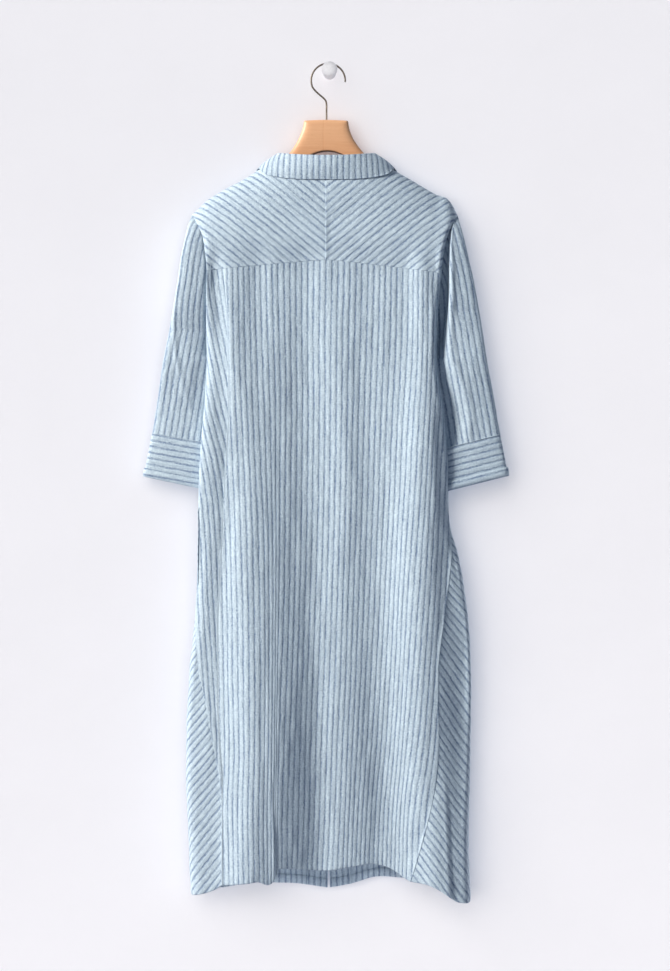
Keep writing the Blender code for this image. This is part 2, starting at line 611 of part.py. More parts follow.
def clear_of_body(point, toward):
    """Move a point of the leaf off the body's form where it would lie on it or inside it."""
    x, off, drop = point[0], -point[1], -point[2] + LEAF_LIFT
    if drop <= ridge(x):
        return point
    if toward < 0:
        off = max(off, float(back_off(x, drop)) + LEAF_LIFT * 0.9)
    else:
        off = min(off, float(front_layer(x - CENTRE)(x, drop)) - LEAF_LIFT * 0.9)
    return np.array([x, -off, point[2]])


def build_collar(finish):
    angles = np.linspace(-COLLAR_END, COLLAR_END, COLLAR_STATIONS)
    rise = np.linspace(0.0, 1.0, COLLAR_COLUMNS)
    up = np.array([0.0, 0.0, 1.0])
    stand, leaf = [], []
    for angle in angles:
        seam, fold, edge = neck_point(angle), fold_point(angle), leaf_point(angle)
        out = fold - np.array([CENTRE, -HANG, fold[2]])
        out = out / np.linalg.norm(out)
        start = seam + unit(fold - seam) * (CLOTH / 2 + SEAM * 5)
        stand.append(np.stack([start + (fold - start) * t for t in rise]))
        top = fold + out * LEAF_START + up * SEAM * 2
        toward = -1 if abs(angle) <= LEAF_CROSSES else 1
        leaf.append(np.stack([clear_of_body(top + (edge - top) * t
                                            + out * LEAF_BULGE * sin(pi * t), toward)
                              for t in rise]))
    for name, columns in (("collar_stand", stand), ("collar_leaf", leaf)):
        cloth_piece(name, finish(name), [spaced(column, COLLAR_COLUMNS) for column in columns])


# ---------------------------------------------------------------- hard pieces
def build_buttons(finish):
    surface = front_layer(1)
    for number in range(BUTTONS):
        drop = BUTTON_FIRST + BUTTON_STEP * number
        off = float(surface(CENTRE, drop)) - CLOTH / 2 - 2 * SEAM - BUTTON_THICK / 2
        bm = bmesh.new()
        bmesh.ops.create_cone(bm, cap_ends=True, segments=20, radius1=BUTTON_RADIUS,
                              radius2=BUTTON_RADIUS, depth=BUTTON_THICK)
        bmesh.ops.rotate(bm, verts=bm.verts, matrix=Vector((0, 0, 1)).rotation_difference(
            Vector((0, 1, 0))).to_matrix())
        bmesh.ops.translate(bm, verts=bm.verts, vec=(CENTRE, -off, -drop))
        name = f"button_{number + 1}"
        add_object(name, bm, finish(name))


def build_hanger(wood, metal):
    """Flat wooden hanger: neck block, two sloping arms and a wire hook."""
    arm_left = np.linspace(ARM_END[0], ARM_START[0], ARM_STEPS)
    arm_right = np.linspace(ARM_START[1], ARM_END[1], ARM_STEPS)

    def arm_top(x):
        dip = ARM_DIP * ramp(-abs(x - CENTRE), -DIP_SPAN[1], -DIP_SPAN[0])
        return x, float(ridge(x)) + HANGER_CLEAR + dip

    def arm_low(x):
        return x, float(ridge(x)) + ARM_DEPTH - ARM_TAPER * max(abs(x) - 0.10, 0)

    top = [arm_top(x) for x in arm_left]
    top += [(-0.0740, 0.1410), (-0.0592, 0.1263), (-0.0483, 0.1100), (-0.0407, 0.0915),
            (-0.0390, 0.0808), (-0.0090, 0.0788), (0.0291, 0.0812), (0.0313, 0.0915),
            (0.0358, 0.1046), (0.0434, 0.1165), (0.0529, 0.1279), (0.0660, 0.1410)]
    top += [arm_top(x) for x in arm_right]
    below = [arm_low(x) for x in arm_right[::-1]]
    below += [(0.0500, 0.1520), (0.0340, 0.1400), (0.0195, 0.1319), (0.0080, 0.1275),
              (-0.0038, 0.1263), (-0.0150, 0.1278), (-0.0256, 0.1319), (-0.0420, 0.1400),
              (-0.0600, 0.1540)]
    below += [arm_low(x) for x in arm_left[::-1]]
    bm = bmesh.new()
    near = [bm.verts.new((x, -HANG - HANGER_THICK / 2, -drop)) for x, drop in top + below]
    face = bm.faces.new(near)
    made = bmesh.ops.extrude_face_region(bm, geom=[face])
    verts = [item for item in made["geom"] if isinstance(item, bmesh.types.BMVert)]
    bmesh.ops.translate(bm, verts=verts, vec=(0, HANGER_THICK, 0))
    hanger = add_object("hanger_wood", bm, wood)
    rounding = hanger.modifiers.new("rounded edges", "BEVEL")
    rounding.width = HANGER_ROUND
    rounding.segments = 2
    rounding.limit_method = "ANGLE"
    rounding.angle_limit = radians(60)
    rounding.use_clamp_overlap = True

    x_mid, drop_mid = HOOK_CENTRE
    route = [(-0.0045, 0.0785), (-0.0047, 0.0640), (-0.0047, 0.0510), (-0.0085, 0.0440),
             (-0.0165, 0.0370)]
    route += [(x_mid + HOOK_RADIUS * cos(radians(a)), drop_mid - HOOK_RADIUS * sin(radians(a)))
              for a in range(212, -8, -12)]
    line = bpy.data.curves.new("hanger_hook", "CURVE")
    line.dimensions = "3D"
    line.bevel_depth = HOOK_WIRE
    line.bevel_resolution = 2
    line.use_fill_caps = True
    spline = line.splines.new("POLY")
    spline.points.add(len(route) - 1)
    for point, (x, drop) in zip(spline.points, route):
        point.co = (x, -HANG, -drop, 1)
    line.materials.append(metal)
    hook = bpy.data.objects.new("hanger_hook", line)
    bpy.context.collection.objects.link(hook)


def build_knob(finish):
    """Turned wall knob: flat back, waisted stem and rounded head."""
    Turn = namedtuple("Turn", "radius off")
    profile = [Turn(0.0, 0.0), Turn(0.0135, 0.0), Turn(0.0135, 0.0030), Turn(0.0110, 0.0055),
               Turn(KNOB_STEM, 0.0120), Turn(KNOB_STEM, 0.0350), Turn(0.0110, 0.0375),
               Turn(KNOB_HEAD, 0.0410), Turn(KNOB_HEAD * 0.98, 0.0445),
               Turn(KNOB_HEAD * 0.80, 0.0480), Turn(KNOB_HEAD * 0.45, 0.0500), Turn(0.0, 0.0505)]
    bm = bmesh.new()
    verts = [bm.verts.new((turn.radius, -turn.off, 0)) for turn in profile]
    edges = [bm.edges.new(pair) for pair in zip(verts, verts[1:])]
    bmesh.ops.spin(bm, geom=verts + edges, cent=(0, 0, 0), axis=(0, 1, 0), angle=2 * pi,
                   steps=32, use_merge=True, use_duplicate=False)
    bmesh.ops.remove_doubles(bm, verts=bm.verts, dist=0.00002)
    add_object("wall_knob", bm, finish)


for old in list(bpy.data.objects):
    bpy.data.objects.remove(old, do_unlink=True)

build_back(striped)
build_fronts(striped)
build_inserts(striped)
build_yokes(striped)
build_sleeves(striped)
build_collar(striped)
build_buttons(shell)
build_hanger(material("hanger_wood", (0.72, 0.40, 0.22), 0.45),
             material("hanger_hook", (0.55, 0.53, 0.50), 0.35, 1.0))
build_knob(material("wall_knob", (0.80, 0.80, 0.82), 0.30))
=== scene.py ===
"""Looks of a striped shirt dress hanging by its wooden hanger from a round wall knob.

The wall is the plane y = 0, and the dress hangs on its -Y side with its back turned to the room.
A point is (x, -off, -drop): off is its distance off the wall, and drop is how far it lies below the
knob's centre. Sizes are in metres. The pieces follow in the order in which a maker sews them.
"""
import json
from collections import namedtuple
from math import cos, pi, radians, sin

import bmesh
import bpy
import numpy as np
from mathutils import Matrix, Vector
from mathutils.geometry import delaunay_2d_cdt

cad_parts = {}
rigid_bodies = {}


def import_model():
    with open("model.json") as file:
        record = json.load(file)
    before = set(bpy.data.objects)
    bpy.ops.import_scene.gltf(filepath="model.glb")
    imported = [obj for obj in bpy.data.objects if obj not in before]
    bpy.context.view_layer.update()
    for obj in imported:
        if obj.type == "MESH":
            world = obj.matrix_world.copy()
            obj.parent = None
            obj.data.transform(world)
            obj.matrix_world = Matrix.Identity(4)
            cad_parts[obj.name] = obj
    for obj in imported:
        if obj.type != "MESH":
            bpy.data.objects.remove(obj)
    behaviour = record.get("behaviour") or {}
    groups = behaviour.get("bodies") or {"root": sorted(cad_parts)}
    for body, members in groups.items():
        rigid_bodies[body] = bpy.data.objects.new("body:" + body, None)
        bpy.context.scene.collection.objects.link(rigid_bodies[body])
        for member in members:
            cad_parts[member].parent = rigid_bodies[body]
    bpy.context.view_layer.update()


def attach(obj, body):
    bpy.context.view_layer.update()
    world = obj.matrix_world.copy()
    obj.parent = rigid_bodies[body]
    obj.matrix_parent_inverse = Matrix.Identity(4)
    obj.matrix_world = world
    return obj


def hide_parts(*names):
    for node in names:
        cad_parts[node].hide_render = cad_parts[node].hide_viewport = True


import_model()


# ================================================================ back panel
# The back is one long panel of crinkled cotton and linen, cut on the straight grain so that its
# stripes hang down. It is sewn to the yoke above and to a bias insert at each side, falls in soft
# uneven folds of its own weight, and its hem is turned up once and stitched.
CENTRE = -0.0046                # x of the dress's middle
HANG = 0.032                    # distance of the shoulder ridge off the wall
ARMPIT = 0.45                   # drop of the underarm point
BACK_FALL = 0.09                # drop over which the back rounds off the shoulder ridge
CLOTH = 0.0009                  # thickness of one layer
SEAM = 0.0003                   # gap between two pieces at a seam
BACK_COLUMNS = 226              # points across the panel and down it
BACK_ROWS = 186
BACK_INSET = 0.0015             # from a side seam to its line of stitches
HEM_DEPTH = 0.02                # from the hem's edge to its line of stitches
END_STEP = 0.35                 # a row's first and last step are this share of the others
SETTLE = 8                      # passes for rows whose drop and x depend on each other


def rows_of(columns, rows):
    """Rows of values under named columns."""
    kind = namedtuple("Row", columns)
    return [kind(*values) for values in rows]


# armhole seam down to the underarm, side fold below it
LEFT_EDGE = rows_of("drop x", [
    (0.2245, -0.2125), (0.24, -0.204), (0.255, -0.1971), (0.282, -0.1918), (0.312, -0.1885),
    (0.372, -0.1895), (0.45, -0.1898), (0.504, -0.1915), (0.563, -0.1964), (0.623, -0.2003),
    (0.715, -0.2023), (0.847, -0.2082), (0.901, -0.2136), (0.9755, -0.2198), (1.126, -0.2211),
    (1.208, -0.2178), (1.28, -0.2138)])
RIGHT_EDGE = rows_of("drop x", [
    (0.2265, 0.1985), (0.243, 0.1887), (0.261, 0.1812), (0.282, 0.1763), (0.313, 0.1722),
    (0.4037, 0.1658), (0.4585, 0.1672), (0.53, 0.176), (0.601, 0.1822), (0.718, 0.1882),
    (0.749, 0.1972), (0.779, 0.2042), (0.818, 0.2101), (0.858, 0.2155), (0.917, 0.2191),
    (1.084, 0.2181), (1.194, 0.2155), (1.29, 0.218)])

# the shoulder ridge, bridged over the neck
SHOULDER = rows_of("x drop", [
    (-0.2125, 0.2245), (-0.1936, 0.2056), (-0.1645, 0.187), (-0.1333, 0.1703), (-0.1101, 0.1556),
    (-0.0926, 0.1445), (-0.06, 0.13), (0.0, 0.125), (0.052, 0.131), (0.0834, 0.1465),
    (0.1103, 0.1619), (0.1645, 0.1932), (0.19, 0.2085), (0.1985, 0.2265)])

# distances off the wall of the cloth's middle and of its side edges
DEPTHS = rows_of("drop back back_edge front_edge front", [
    (0.2245, 0.059, 0.05, 0.018, 0.012), (0.312, 0.064, 0.053, 0.02, 0.012),
    (0.39, 0.0665, 0.051, 0.026, 0.013), (0.45, 0.0675, 0.044, 0.044, 0.013),
    (0.54, 0.0685, 0.054, 0.054, 0.013), (0.66, 0.07, 0.056, 0.056, 0.0135),
    (0.85, 0.072, 0.048, 0.048, 0.014), (1.3, 0.075, 0.044, 0.044, 0.015)])

# widths over which it rounds off its left and right side folds, and the share of the fall it takes
BACK_TURN = rows_of("drop left right fall", [
    (0.2245, 0.008, 0.006, 0.5), (0.3, 0.012, 0.007, 0.5), (0.36, 0.018, 0.026, 0.55),
    (0.45, 0.018, 0.03, 1.0), (0.62, 0.018, 0.028, 1.0), (0.72, 0.018, 0.016, 1.0),
    (0.82, 0.018, 0.01, 1.0), (1.3, 0.018, 0.008, 1.0)])

INSERTS_FROM = 0.6786           # drop at which the side inserts begin
# how far inside the side folds the inserts' seams lie
INSERTS = rows_of("drop left right", [
    (0.6786, 0.00002, 0.00002), (0.7243, 0.0006, 0.003), (0.79, 0.0012, 0.022),
    (0.85, 0.0022, 0.038), (0.93, 0.015, 0.052), (0.98, 0.0294, 0.052), (1.04, 0.0413, 0.051),
    (1.09, 0.0518, 0.053), (1.145, 0.0555, 0.061), (1.195, 0.053, 0.0725), (1.28, 0.0483, 0.1)])

BACK_HEM = rows_of("x drop", [
    (-0.214, 1.264), (-0.1648, 1.2613), (-0.1116, 1.2548), (-0.084, 1.25), (-0.078, 1.235),
    (-0.0384, 1.2383), (-0.0084, 1.2408), (0.0405, 1.2339), (0.0602, 1.2309), (0.0985, 1.2397),
    (0.1191, 1.2534), (0.18, 1.26)])

FOLD_PLACES = (0.32, 0.62, 0.92, 1.22)      # drops at which a fold's x is given
FOLD_HEIGHTS = (0.32, 0.54, 0.78, 1.02, 1.25)       # drops at which its height is given
FOLDS_START = (0.255, 0.33)                 # the folds grow out of the smooth yoke between these
FOLD = "x_top x_upper x_lower x_hem top upper middle lower hem left right"
# ridges have heights above zero and troughs below, widths to their left and right
BACK_FOLDS = rows_of(FOLD, [
    (-0.18, -0.193, -0.202, -0.225, 0.002, 0.003, -0.013, -0.003, 0.002, 0.009, 0.021),
    (-0.18, -0.193, -0.21, -0.206, -0.003, -0.009, 0.0065, -0.006, -0.008, 0.011, 0.025),
    (-0.176, -0.161, -0.172, -0.172, -0.007, -0.005, -0.008, -0.0045, -0.003, 0.018, 0.014),
    (-0.121, -0.121, -0.126, -0.131, 0.001, 0.0065, 0.007, 0.0015, 0.0075, 0.025, 0.02),
    (-0.077, -0.105, -0.118, -0.107, -0.004, -0.002, 0.0025, 0.016, 0.0105, 0.035, 0.019),
    (-0.091, -0.096, -0.094, -0.076, 0.0045, 0.0075, 0.006, 0.0105, 0.0095, 0.018, 0.023),
    (-0.072, -0.066, -0.066, -0.061, 0.0095, 0.0065, 0.01, 0.0075, -0.0065, 0.029, 0.027),
    (-0.07, -0.06, -0.032, 0.012, -0.018, -0.02, -0.0165, -0.0045, 0.0005, 0.067, 0.065),
    (0.039, 0.01, -0.011, -0.014, -0.003, -0.0055, -0.0005, -0.0035, -0.015, 0.028, 0.029),
    (0.012, 0.018, 0.046, 0.022, -0.003, 0.004, 0.001, 0.0, -0.0075, 0.02, 0.017),
    (0.066, 0.04, 0.066, 0.086, -0.0045, -0.001, -0.008, -0.0105, -0.01, 0.046, 0.049),
    (0.064, 0.052, 0.059, 0.044, -0.001, -0.0055, -0.001, 0.002, -0.0075, 0.019, 0.023),
    (0.118, 0.088, 0.081, 0.097, -0.01, -0.0075, -0.0065, -0.0045, -0.0075, 0.034, 0.026),
    (0.127, 0.118, 0.128, 0.071, -0.005, -0.0045, 0.001, 0.001, -0.004, 0.016, 0.02),
    (0.159, 0.136, 0.142, 0.129, -0.015, -0.0025, 0.002, 0.004, -0.005, 0.022, 0.019),
    (0.161, 0.16, 0.157, 0.165, 0.02, 0.0255, 0.007, 0.002, 0.008, 0.044, 0.018),
    (0.146, 0.165, 0.206, 0.125, 0.006, -0.0165, 0.0045, 0.0, 0.003, 0.027, 0.013),
    (0.163, 0.173, 0.211, 0.219, -0.009, 0.002, -0.009, -0.015, 0.0, 0.029, 0.008),
    (0.161, 0.186, 0.164, 0.188, 0.0025, 0.0155, 0.0005, 0.001, 0.0025, 0.009, 0.013)])

# the back laps over its own side strip, whose stripes lean by so many stripes
SIDE_CREASE = rows_of("drop x height lean", [
    (0.31, -0.1625, 0.0, 0.0), (0.36, -0.159, 0.0012, -0.7), (0.5143, -0.155, 0.0022, -4.0),
    (0.63, -0.1604, 0.0026, -6.5), (0.7612, -0.1673, 0.0026, -6.9), (0.8229, -0.1704, 0.0024, -7.0),
    (0.9463, -0.1719, 0.002, -7.6), (1.0389, -0.1688, 0.0012, -8.2), (1.09, -0.165, 0.0, -8.4)])
# and near the hem a second fold laps over the cloth to its right
HEM_CREASE = rows_of("drop x height", [
    (1.02, -0.0915, 0.0), (1.1, -0.0885, 0.0006), (1.18, -0.085, 0.0012), (1.26, -0.0812, 0.0015)])
# and a third over the right insert
INSERT_CREASE = rows_of("drop x height", [
    (1.09, 0.179, 0.0), (1.13, 0.1812, 0.0014), (1.2, 0.184, 0.0026), (1.29, 0.188, 0.003)])
CREASE_EDGE = 0.0011            # half the width of the step at a crease
CREASE_FADE = (0.011, 0.006)    # widths over which its raised and its covered side level out

DRIFT_PLACES = np.array([-0.2, -0.15, -0.101, -0.076, -0.027, 0.022, 0.072, 0.121, 0.146, 0.171])
# stripes by which the crinkled cloth is pushed aside at those ten places
DRIFT = rows_of("drop a b c d e f g h i j", [
    (0.314, -0.9, -0.3, 0.1, 0.1, 0.1, 0.0, 0.0, 0.2, 0.6, 1.2),
    (0.419, -0.9, -0.4, -0.1, -0.1, 0.2, 0.3, 0.3, 0.4, 0.7, 1.3),
    (0.524, -0.8, -0.6, -0.4, -0.3, 0.1, 0.4, 0.7, 0.9, 1.1, 1.5),
    (0.628, -1.2, -1.0, -0.7, -0.2, 0.2, 0.6, 1.0, 1.5, 1.6, 2.2),
    (0.733, -2.0, -1.2, -1.0, -0.1, 0.4, 0.9, 1.5, 2.2, 2.4, 2.8),
    (0.838, -2.1, -1.2, -0.9, 0.2, 0.8, 1.3, 2.0, 3.0, 3.1, 3.4),
    (0.943, -2.2, -1.0, -0.8, 0.7, 1.2, 1.7, 2.7, 3.9, 4.0, 4.3),
    (1.048, -2.0, -1.0, -0.4, 1.3, 1.6, 2.3, 3.5, 5.0, 5.0, 5.2),
    (1.153, -1.0, -0.4, 0.2, 1.7, 1.9, 2.8, 4.7, 6.5, 6.4, 6.4),
    (1.26, -0.9, -0.4, 0.3, 1.7, 2.5, 3.4, 5.3, 6.9, 6.8, 6.8)])
PITCH = 0.0093                  # distance from one stripe to the next in the flat cloth
STRIPE_SHARE = 0.34             # share of that distance which the dark stripe takes

# random creases of the crinkled cloth, the largest first
PUCKERS = rows_of("width length height", [
    (0.03, 0.11, 0.0011), (0.013, 0.034, 0.0005), (0.0062, 0.015, 0.00022)])
PUCKERS_FROM = 4                # points from a seam over which they set in
YOKE_SIDE = (0.312, 0.317)      # drop of the back yoke seam at the left and right armhole
YOKE_MIDDLE = 0.296             # drop of the same seam at the centre
YOKE_REACH = (0.1839, 0.1768)   # its reach from the centre to the left and right armhole
YOKE_BEND = 1.2                 # power of the seam's curve


def curve(table, name, at, key="drop"):
    """Smooth curve through one column of a table, read at the places given."""
    known = np.array([getattr(row, key) for row in table], float)
    value = np.array([getattr(row, name) for row in table], float)
    step = np.diff(known)
    slope = np.diff(value) / step
    bend = np.empty(len(known))
    bend[0], bend[-1] = slope[0], slope[-1]
    bend[1:-1] = (slope[:-1] * step[1:] + slope[1:] * step[:-1]) / (step[1:] + step[:-1])
    bend[1:-1][slope[:-1] * slope[1:] <= 0] = 0
    at = np.clip(np.asarray(at, float), known[0], known[-1])
    i = np.clip(np.searchsorted(known, at) - 1, 0, len(step) - 1)
    t = (at - known[i]) / step[i]
    return (value[i] * (1 + 2 * t) * (1 - t) ** 2 + value[i + 1] * t * t * (3 - 2 * t)
            + step[i] * t * (1 - t) * (bend[i] * (1 - t) - bend[i + 1] * t))


def ramp(value, start, end):
    t = np.clip((value - start) / (end - start), 0, 1)
    return t * t * (3 - 2 * t)


def quarter(t):
    """Rise of a quarter ellipse: steep at 0, level from 1 on."""
    return np.sqrt(np.clip(1 - (1 - np.clip(t, 0, 1)) ** 2, 0, 1))


def between(places, values, drop):
    """Soft steps from one value to the next down the dress."""
    places, values = np.array(places), np.array(values)
    drop = np.clip(drop, places[0], places[-1])
    k = np.clip(np.searchsorted(places, drop, side="right") - 1, 0, len(places) - 2)
    t = ramp(drop, places[k], places[k + 1])
    return values[k] * (1 - t) + values[k + 1] * t


def edge_x(drop, side):
    """x of the dress's left edge, where side is -1, or of its right edge."""
    return curve(LEFT_EDGE if side < 0 else RIGHT_EDGE, "x", drop)


def ridge(x):
    return curve(SHOULDER, "drop", x, key="x")


def folds(table, x, drop):
    total = np.zeros(np.broadcast(x, drop).shape)
    for fold in table:
        middle = between(FOLD_PLACES, fold[:4], drop)
        height = between(FOLD_HEIGHTS, fold[4:9], drop)
        width = np.where(x < middle, fold.left, fold.right)
        total = total + height * np.exp(-((x - middle) / width) ** 2)
    return total * ramp(drop, *FOLDS_START)


def crease(table, x, drop, side):
    """Step of the cloth where it laps over itself, raised on the given side of the line."""
    away = (x - curve(table, "x", drop)) * side
    height = np.where(drop < table[0].drop, 0.0, curve(table, "height", drop))
    raised = ramp(away, -CREASE_EDGE, CREASE_EDGE)
    return height * (raised * np.exp(-(away / CREASE_FADE[0]) ** 2)
                     - 0.5 * (1 - raised) * np.exp(-(away / CREASE_FADE[1]) ** 2))


def back_off(x, drop):
    """Distance off the wall of the back's cloth."""
    dome = quarter((drop - ridge(x)) / BACK_FALL)
    roll = quarter(np.minimum((x - edge_x(drop, -1)) / curve(BACK_TURN, "left", drop),
                              (edge_x(drop, 1) - x) / curve(BACK_TURN, "right", drop)))
    middle, edge = curve(DEPTHS, "back", drop), curve(DEPTHS, "back_edge", drop)
    edge = middle + (edge - middle) * curve(BACK_TURN, "fall", drop)
    uneven = (folds(BACK_FOLDS, x, drop) + crease(SIDE_CREASE, x, drop, 1)
              + crease(HEM_CREASE, x, drop, -1) + crease(INSERT_CREASE, x, drop, -1))
    level = edge + (middle - edge + uneven) * roll
    return HANG + (level - HANG) * dome


def insert_seam(drop, side):
    """x of a side seam: at the side fold, then along the insert."""
    inset = curve(INSERTS, "left" if side < 0 else "right", drop)
    return edge_x(drop, side) - side * np.where(drop < INSERTS_FROM, 0.0, inset)


def back_yoke_drop(x):
    side = np.where(x < CENTRE, YOKE_SIDE[0], YOKE_SIDE[1])
    reach = np.where(x < CENTRE, YOKE_REACH[0], YOKE_REACH[1])
    return YOKE_MIDDLE + (side - YOKE_MIDDLE) * (abs(x - CENTRE) / reach) ** YOKE_BEND


def place(x, off, drop):
    x, off, drop = np.broadcast_arrays(x, off, drop)
    return np.stack([x, -off, -drop], axis=-1)


def unit(vectors):
    return vectors / np.maximum(np.linalg.norm(vectors, axis=-1, keepdims=True), 1e-12)


def shares(count):
    """Even shares from 0 to 1, with one more close to each end for a crisp seam."""
    inner = np.linspace(0, 1, count - 2)
    near = inner[1] * END_STEP
    return np.concatenate([[0, near], inner[1:-1], [1 - near, 1]])


def panel_grid(x_start, x_end, surface, top, hem, across, down):
    """Rows of points of a panel, from its upper seam to its hem and from seam to seam."""
    u, v = shares(across)[None, :], shares(down)[:, None]
    level = np.full((down, across), ARMPIT)
    x = x_start(level) * (1 - u) + x_end(level) * u
    for _ in range(SETTLE):
        drop = top(x) * (1 - v) + hem(x) * v
        x = x_start(drop) * (1 - u) + x_end(drop) * u
    return place(x, surface(x, drop), drop)


def run_along(points, axis=0):
    """Length of the way along each line of points, from 0 at its start."""
    step = np.linalg.norm(np.diff(points, axis=axis), axis=-1)
    return np.insert(np.cumsum(step, axis=axis), 0, 0, axis=axis)


def read_along(line, run, at):
    """What a line of three columns holds at the given lengths along it."""
    return np.stack([np.interp(at, run, line[:, k]) for k in range(3)], axis=-1)


def row_lengths(points, x_zero):
    """Length of cloth along each row, measured from where the row crosses x_zero."""
    run = run_along(points, axis=1)
    zero = [np.interp(x_zero, *((row[:, 0], way) if row[0, 0] < row[-1, 0]
                                else (row[::-1, 0], way[::-1]))) for row, way in zip(points, run)]
    return run - np.array(zero)[:, None]


def normals_of(points, outward):
    """Unit normals of a grid of points, on the side to which outward points."""
    normal = unit(np.cross(np.gradient(points, axis=1), np.gradient(points, axis=0)))
    return normal if np.sum(normal.mean(axis=(0, 1)) * outward) > 0 else -normal


def random_relief(across, along, width, length, seed):
    """Smooth relief between -1 and 1 over cells of the given width and length."""
    u, v = across / width, along / length
    i, j = np.floor(u), np.floor(v)
    s, t = ramp(u - i, 0, 1), ramp(v - j, 0, 1)

    def knot(a, b):
        mixed = np.sin(a * 127.1 + b * 311.7 + seed * 74.7) * 43758.5453
        return 2 * (mixed - np.floor(mixed)) - 1

    upper = knot(i, j) * (1 - s) + knot(i + 1, j) * s
    lower = knot(i, j + 1) * (1 - s) + knot(i + 1, j + 1) * s
    return upper * (1 - t) + lower * t


def drift(x, drop):
    """Length of cloth that is pushed aside at each point."""
    places = np.array([curve(DRIFT, name, drop) for name in DRIFT[0]._fields[1:]])
    k = np.clip(np.searchsorted(DRIFT_PLACES, x) - 1, 0, len(DRIFT_PLACES) - 2)
    t = np.clip((x - DRIFT_PLACES[k]) / (DRIFT_PLACES[k + 1] - DRIFT_PLACES[k]), 0, 1)
    left, right = (np.take_along_axis(places, step[None], 0)[0] for step in (k, k + 1))
    covered = ramp(curve(SIDE_CREASE, "x", drop) - x, -CREASE_EDGE, CREASE_EDGE)
    return PITCH * (left * (1 - t) + right * t + curve(SIDE_CREASE, "lean", drop) * covered)


def puckered(points, cut, outward, seed, strength=1.0):
    """The same grid with the cloth's random creases, strongest away from the seams."""
    rows, columns = points.shape[:2]
    near = np.minimum.outer(np.minimum(np.arange(rows), np.arange(rows)[::-1]),
                            np.minimum(np.arange(columns), np.arange(columns)[::-1]))
    lift = sum(pucker.height * random_relief(cut[..., 0], cut[..., 1], pucker.width,
                                             pucker.length, seed + number)
               for number, pucker in enumerate(PUCKERS))
    lift = lift * strength * ramp(near, 0, PUCKERS_FROM)
    return points + normals_of(points, outward) * lift[..., None]


def calm(vectors):
    """The same unit vectors with each line of them smoothed from end to end."""
    for _ in range(6):
        ends = np.concatenate([vectors[..., :1, :], vectors, vectors[..., -1:, :]], axis=-2)
        vectors = ends[..., :-2, :] + 2 * ends[..., 1:-1, :] + ends[..., 2:, :]
        vectors = unit(vectors)
    return vectors


LAP = rows_of("forward inward", [(0.0006, -0.0002), (0.0011, 0.0003), (0.0009, 0.0014)])
TUCK = rows_of("forward inward", [(0.001, 0.001), (0.003, 0.0024)])
HEM_TURN = rows_of("forward inward", [
    (0.0007, 0.0004), (0.0008, 0.0011), (0.0, 0.0018), (-0.006, 0.0019), (-0.012, 0.0019),
    (-0.0124, 0.0012)])
WELT = np.array([0.0004, 0.0003, 0.0001])   # rise of a lapped edge over its folded allowance


def turned(points, cut, outward, turn, edge):
    """The grid with one edge turned in, as a seam allowance or a hem is."""
    flip = edge in ("top", "left")
    swap = edge in ("left", "right")
    if swap:
        points, cut = points.transpose(1, 0, 2), cut.transpose(1, 0, 2)
    normal = normals_of(points, outward)
    if flip:
        points, cut, normal = points[::-1], cut[::-1], normal[::-1]
    last = calm(normal[-1:-4:-1])
    if turn is LAP:
        points = points.copy()
        points[-1:-4:-1] += last * WELT[:, None, None]
    ahead = calm(unit(points[-1] - points[-3]))
    cut_ahead = unit(cut[-1] - cut[-3])
    rows = [points[-1] + ahead * step.forward - last[0] * step.inward for step in turn]
    cut_rows = [cut[-1] + cut_ahead * (step.forward + step.inward) for step in turn]
    points = np.concatenate([points, rows])
    cut = np.concatenate([cut, cut_rows])
    if flip:
        points, cut = points[::-1], cut[::-1]
    if swap:
        points, cut = points.transpose(1, 0, 2), cut.transpose(1, 0, 2)
    return points, cut


def sewn(points, cut, outward, laps=(), tucks=(), hems=()):
    """The grid with its edges lapped over, tucked under, or hemmed."""
    for edges, turn in ((tucks, TUCK), (hems, HEM_TURN), (laps, LAP)):
        for edge in edges:
            points, cut = turned(points, cut, outward, turn, edge)
    return points, cut


STITCH_DEPTH = 16               # rows of the grid that are searched for a stitch line
STITCH_LIFT = 0.0001            # the stitches lie this far off the cloth
stitch_lines = []


def topstitch(points, outward, edge, inset, span=slice(None)):
    """Mark a line of stitches along one edge of a piece, at a distance inside it."""
    normal = normals_of(points, outward)
    if edge in ("left", "right"):
        points, normal = points.transpose(1, 0, 2), normal.transpose(1, 0, 2)
    if edge in ("bottom", "right"):
        points, normal = points[::-1], normal[::-1]
    points, normal = points[:STITCH_DEPTH, span], normal[:STITCH_DEPTH, span]
    run = run_along(points)
    line, lift = (np.array([read_along(grid[:, column], run[:, column], inset)
                            for column in range(run.shape[1])]) for grid in (points, normal))
    stitch_lines.append((line + lift * (CLOTH / 2 + STITCH_LIFT), lift))


def grid_mesh(name, points, cut, outward, missing=None):
    """A mesh through a grid of points, its UV map holding the cut's two lengths in metres."""
    rows, columns = points.shape[:2]
    index = np.arange(rows * columns).reshape(rows, columns)
    quads = np.stack([index[:-1, :-1], index[1:, :-1], index[1:, 1:], index[:-1, 1:]], axis=-1)
    way = np.cross(np.gradient(points, axis=0), np.gradient(points, axis=1)).mean(axis=(0, 1))
    quads = quads.reshape(-1, 4) if np.dot(way, outward) > 0 else quads.reshape(-1, 4)[:, ::-1]
    points, cut = points.reshape(-1, 3), cut.reshape(-1, 2)
    if missing is not None:
        quads = quads[~missing.ravel()[quads].any(axis=1)]
        used, quads = np.unique(quads, return_inverse=True)
        points, cut, quads = points[used], cut[used], quads.reshape(-1, 4)
    mesh = bpy.data.meshes.new(name)
    mesh.from_pydata(points.tolist(), [], quads.tolist())
    layer = mesh.uv_layers.new(name="cut")
    corner = np.empty(len(mesh.loops), int)
    mesh.loops.foreach_get("vertex_index", corner)
    layer.data.foreach_set("uv", cut[corner].ravel())
    mesh.shade_smooth()
    return mesh


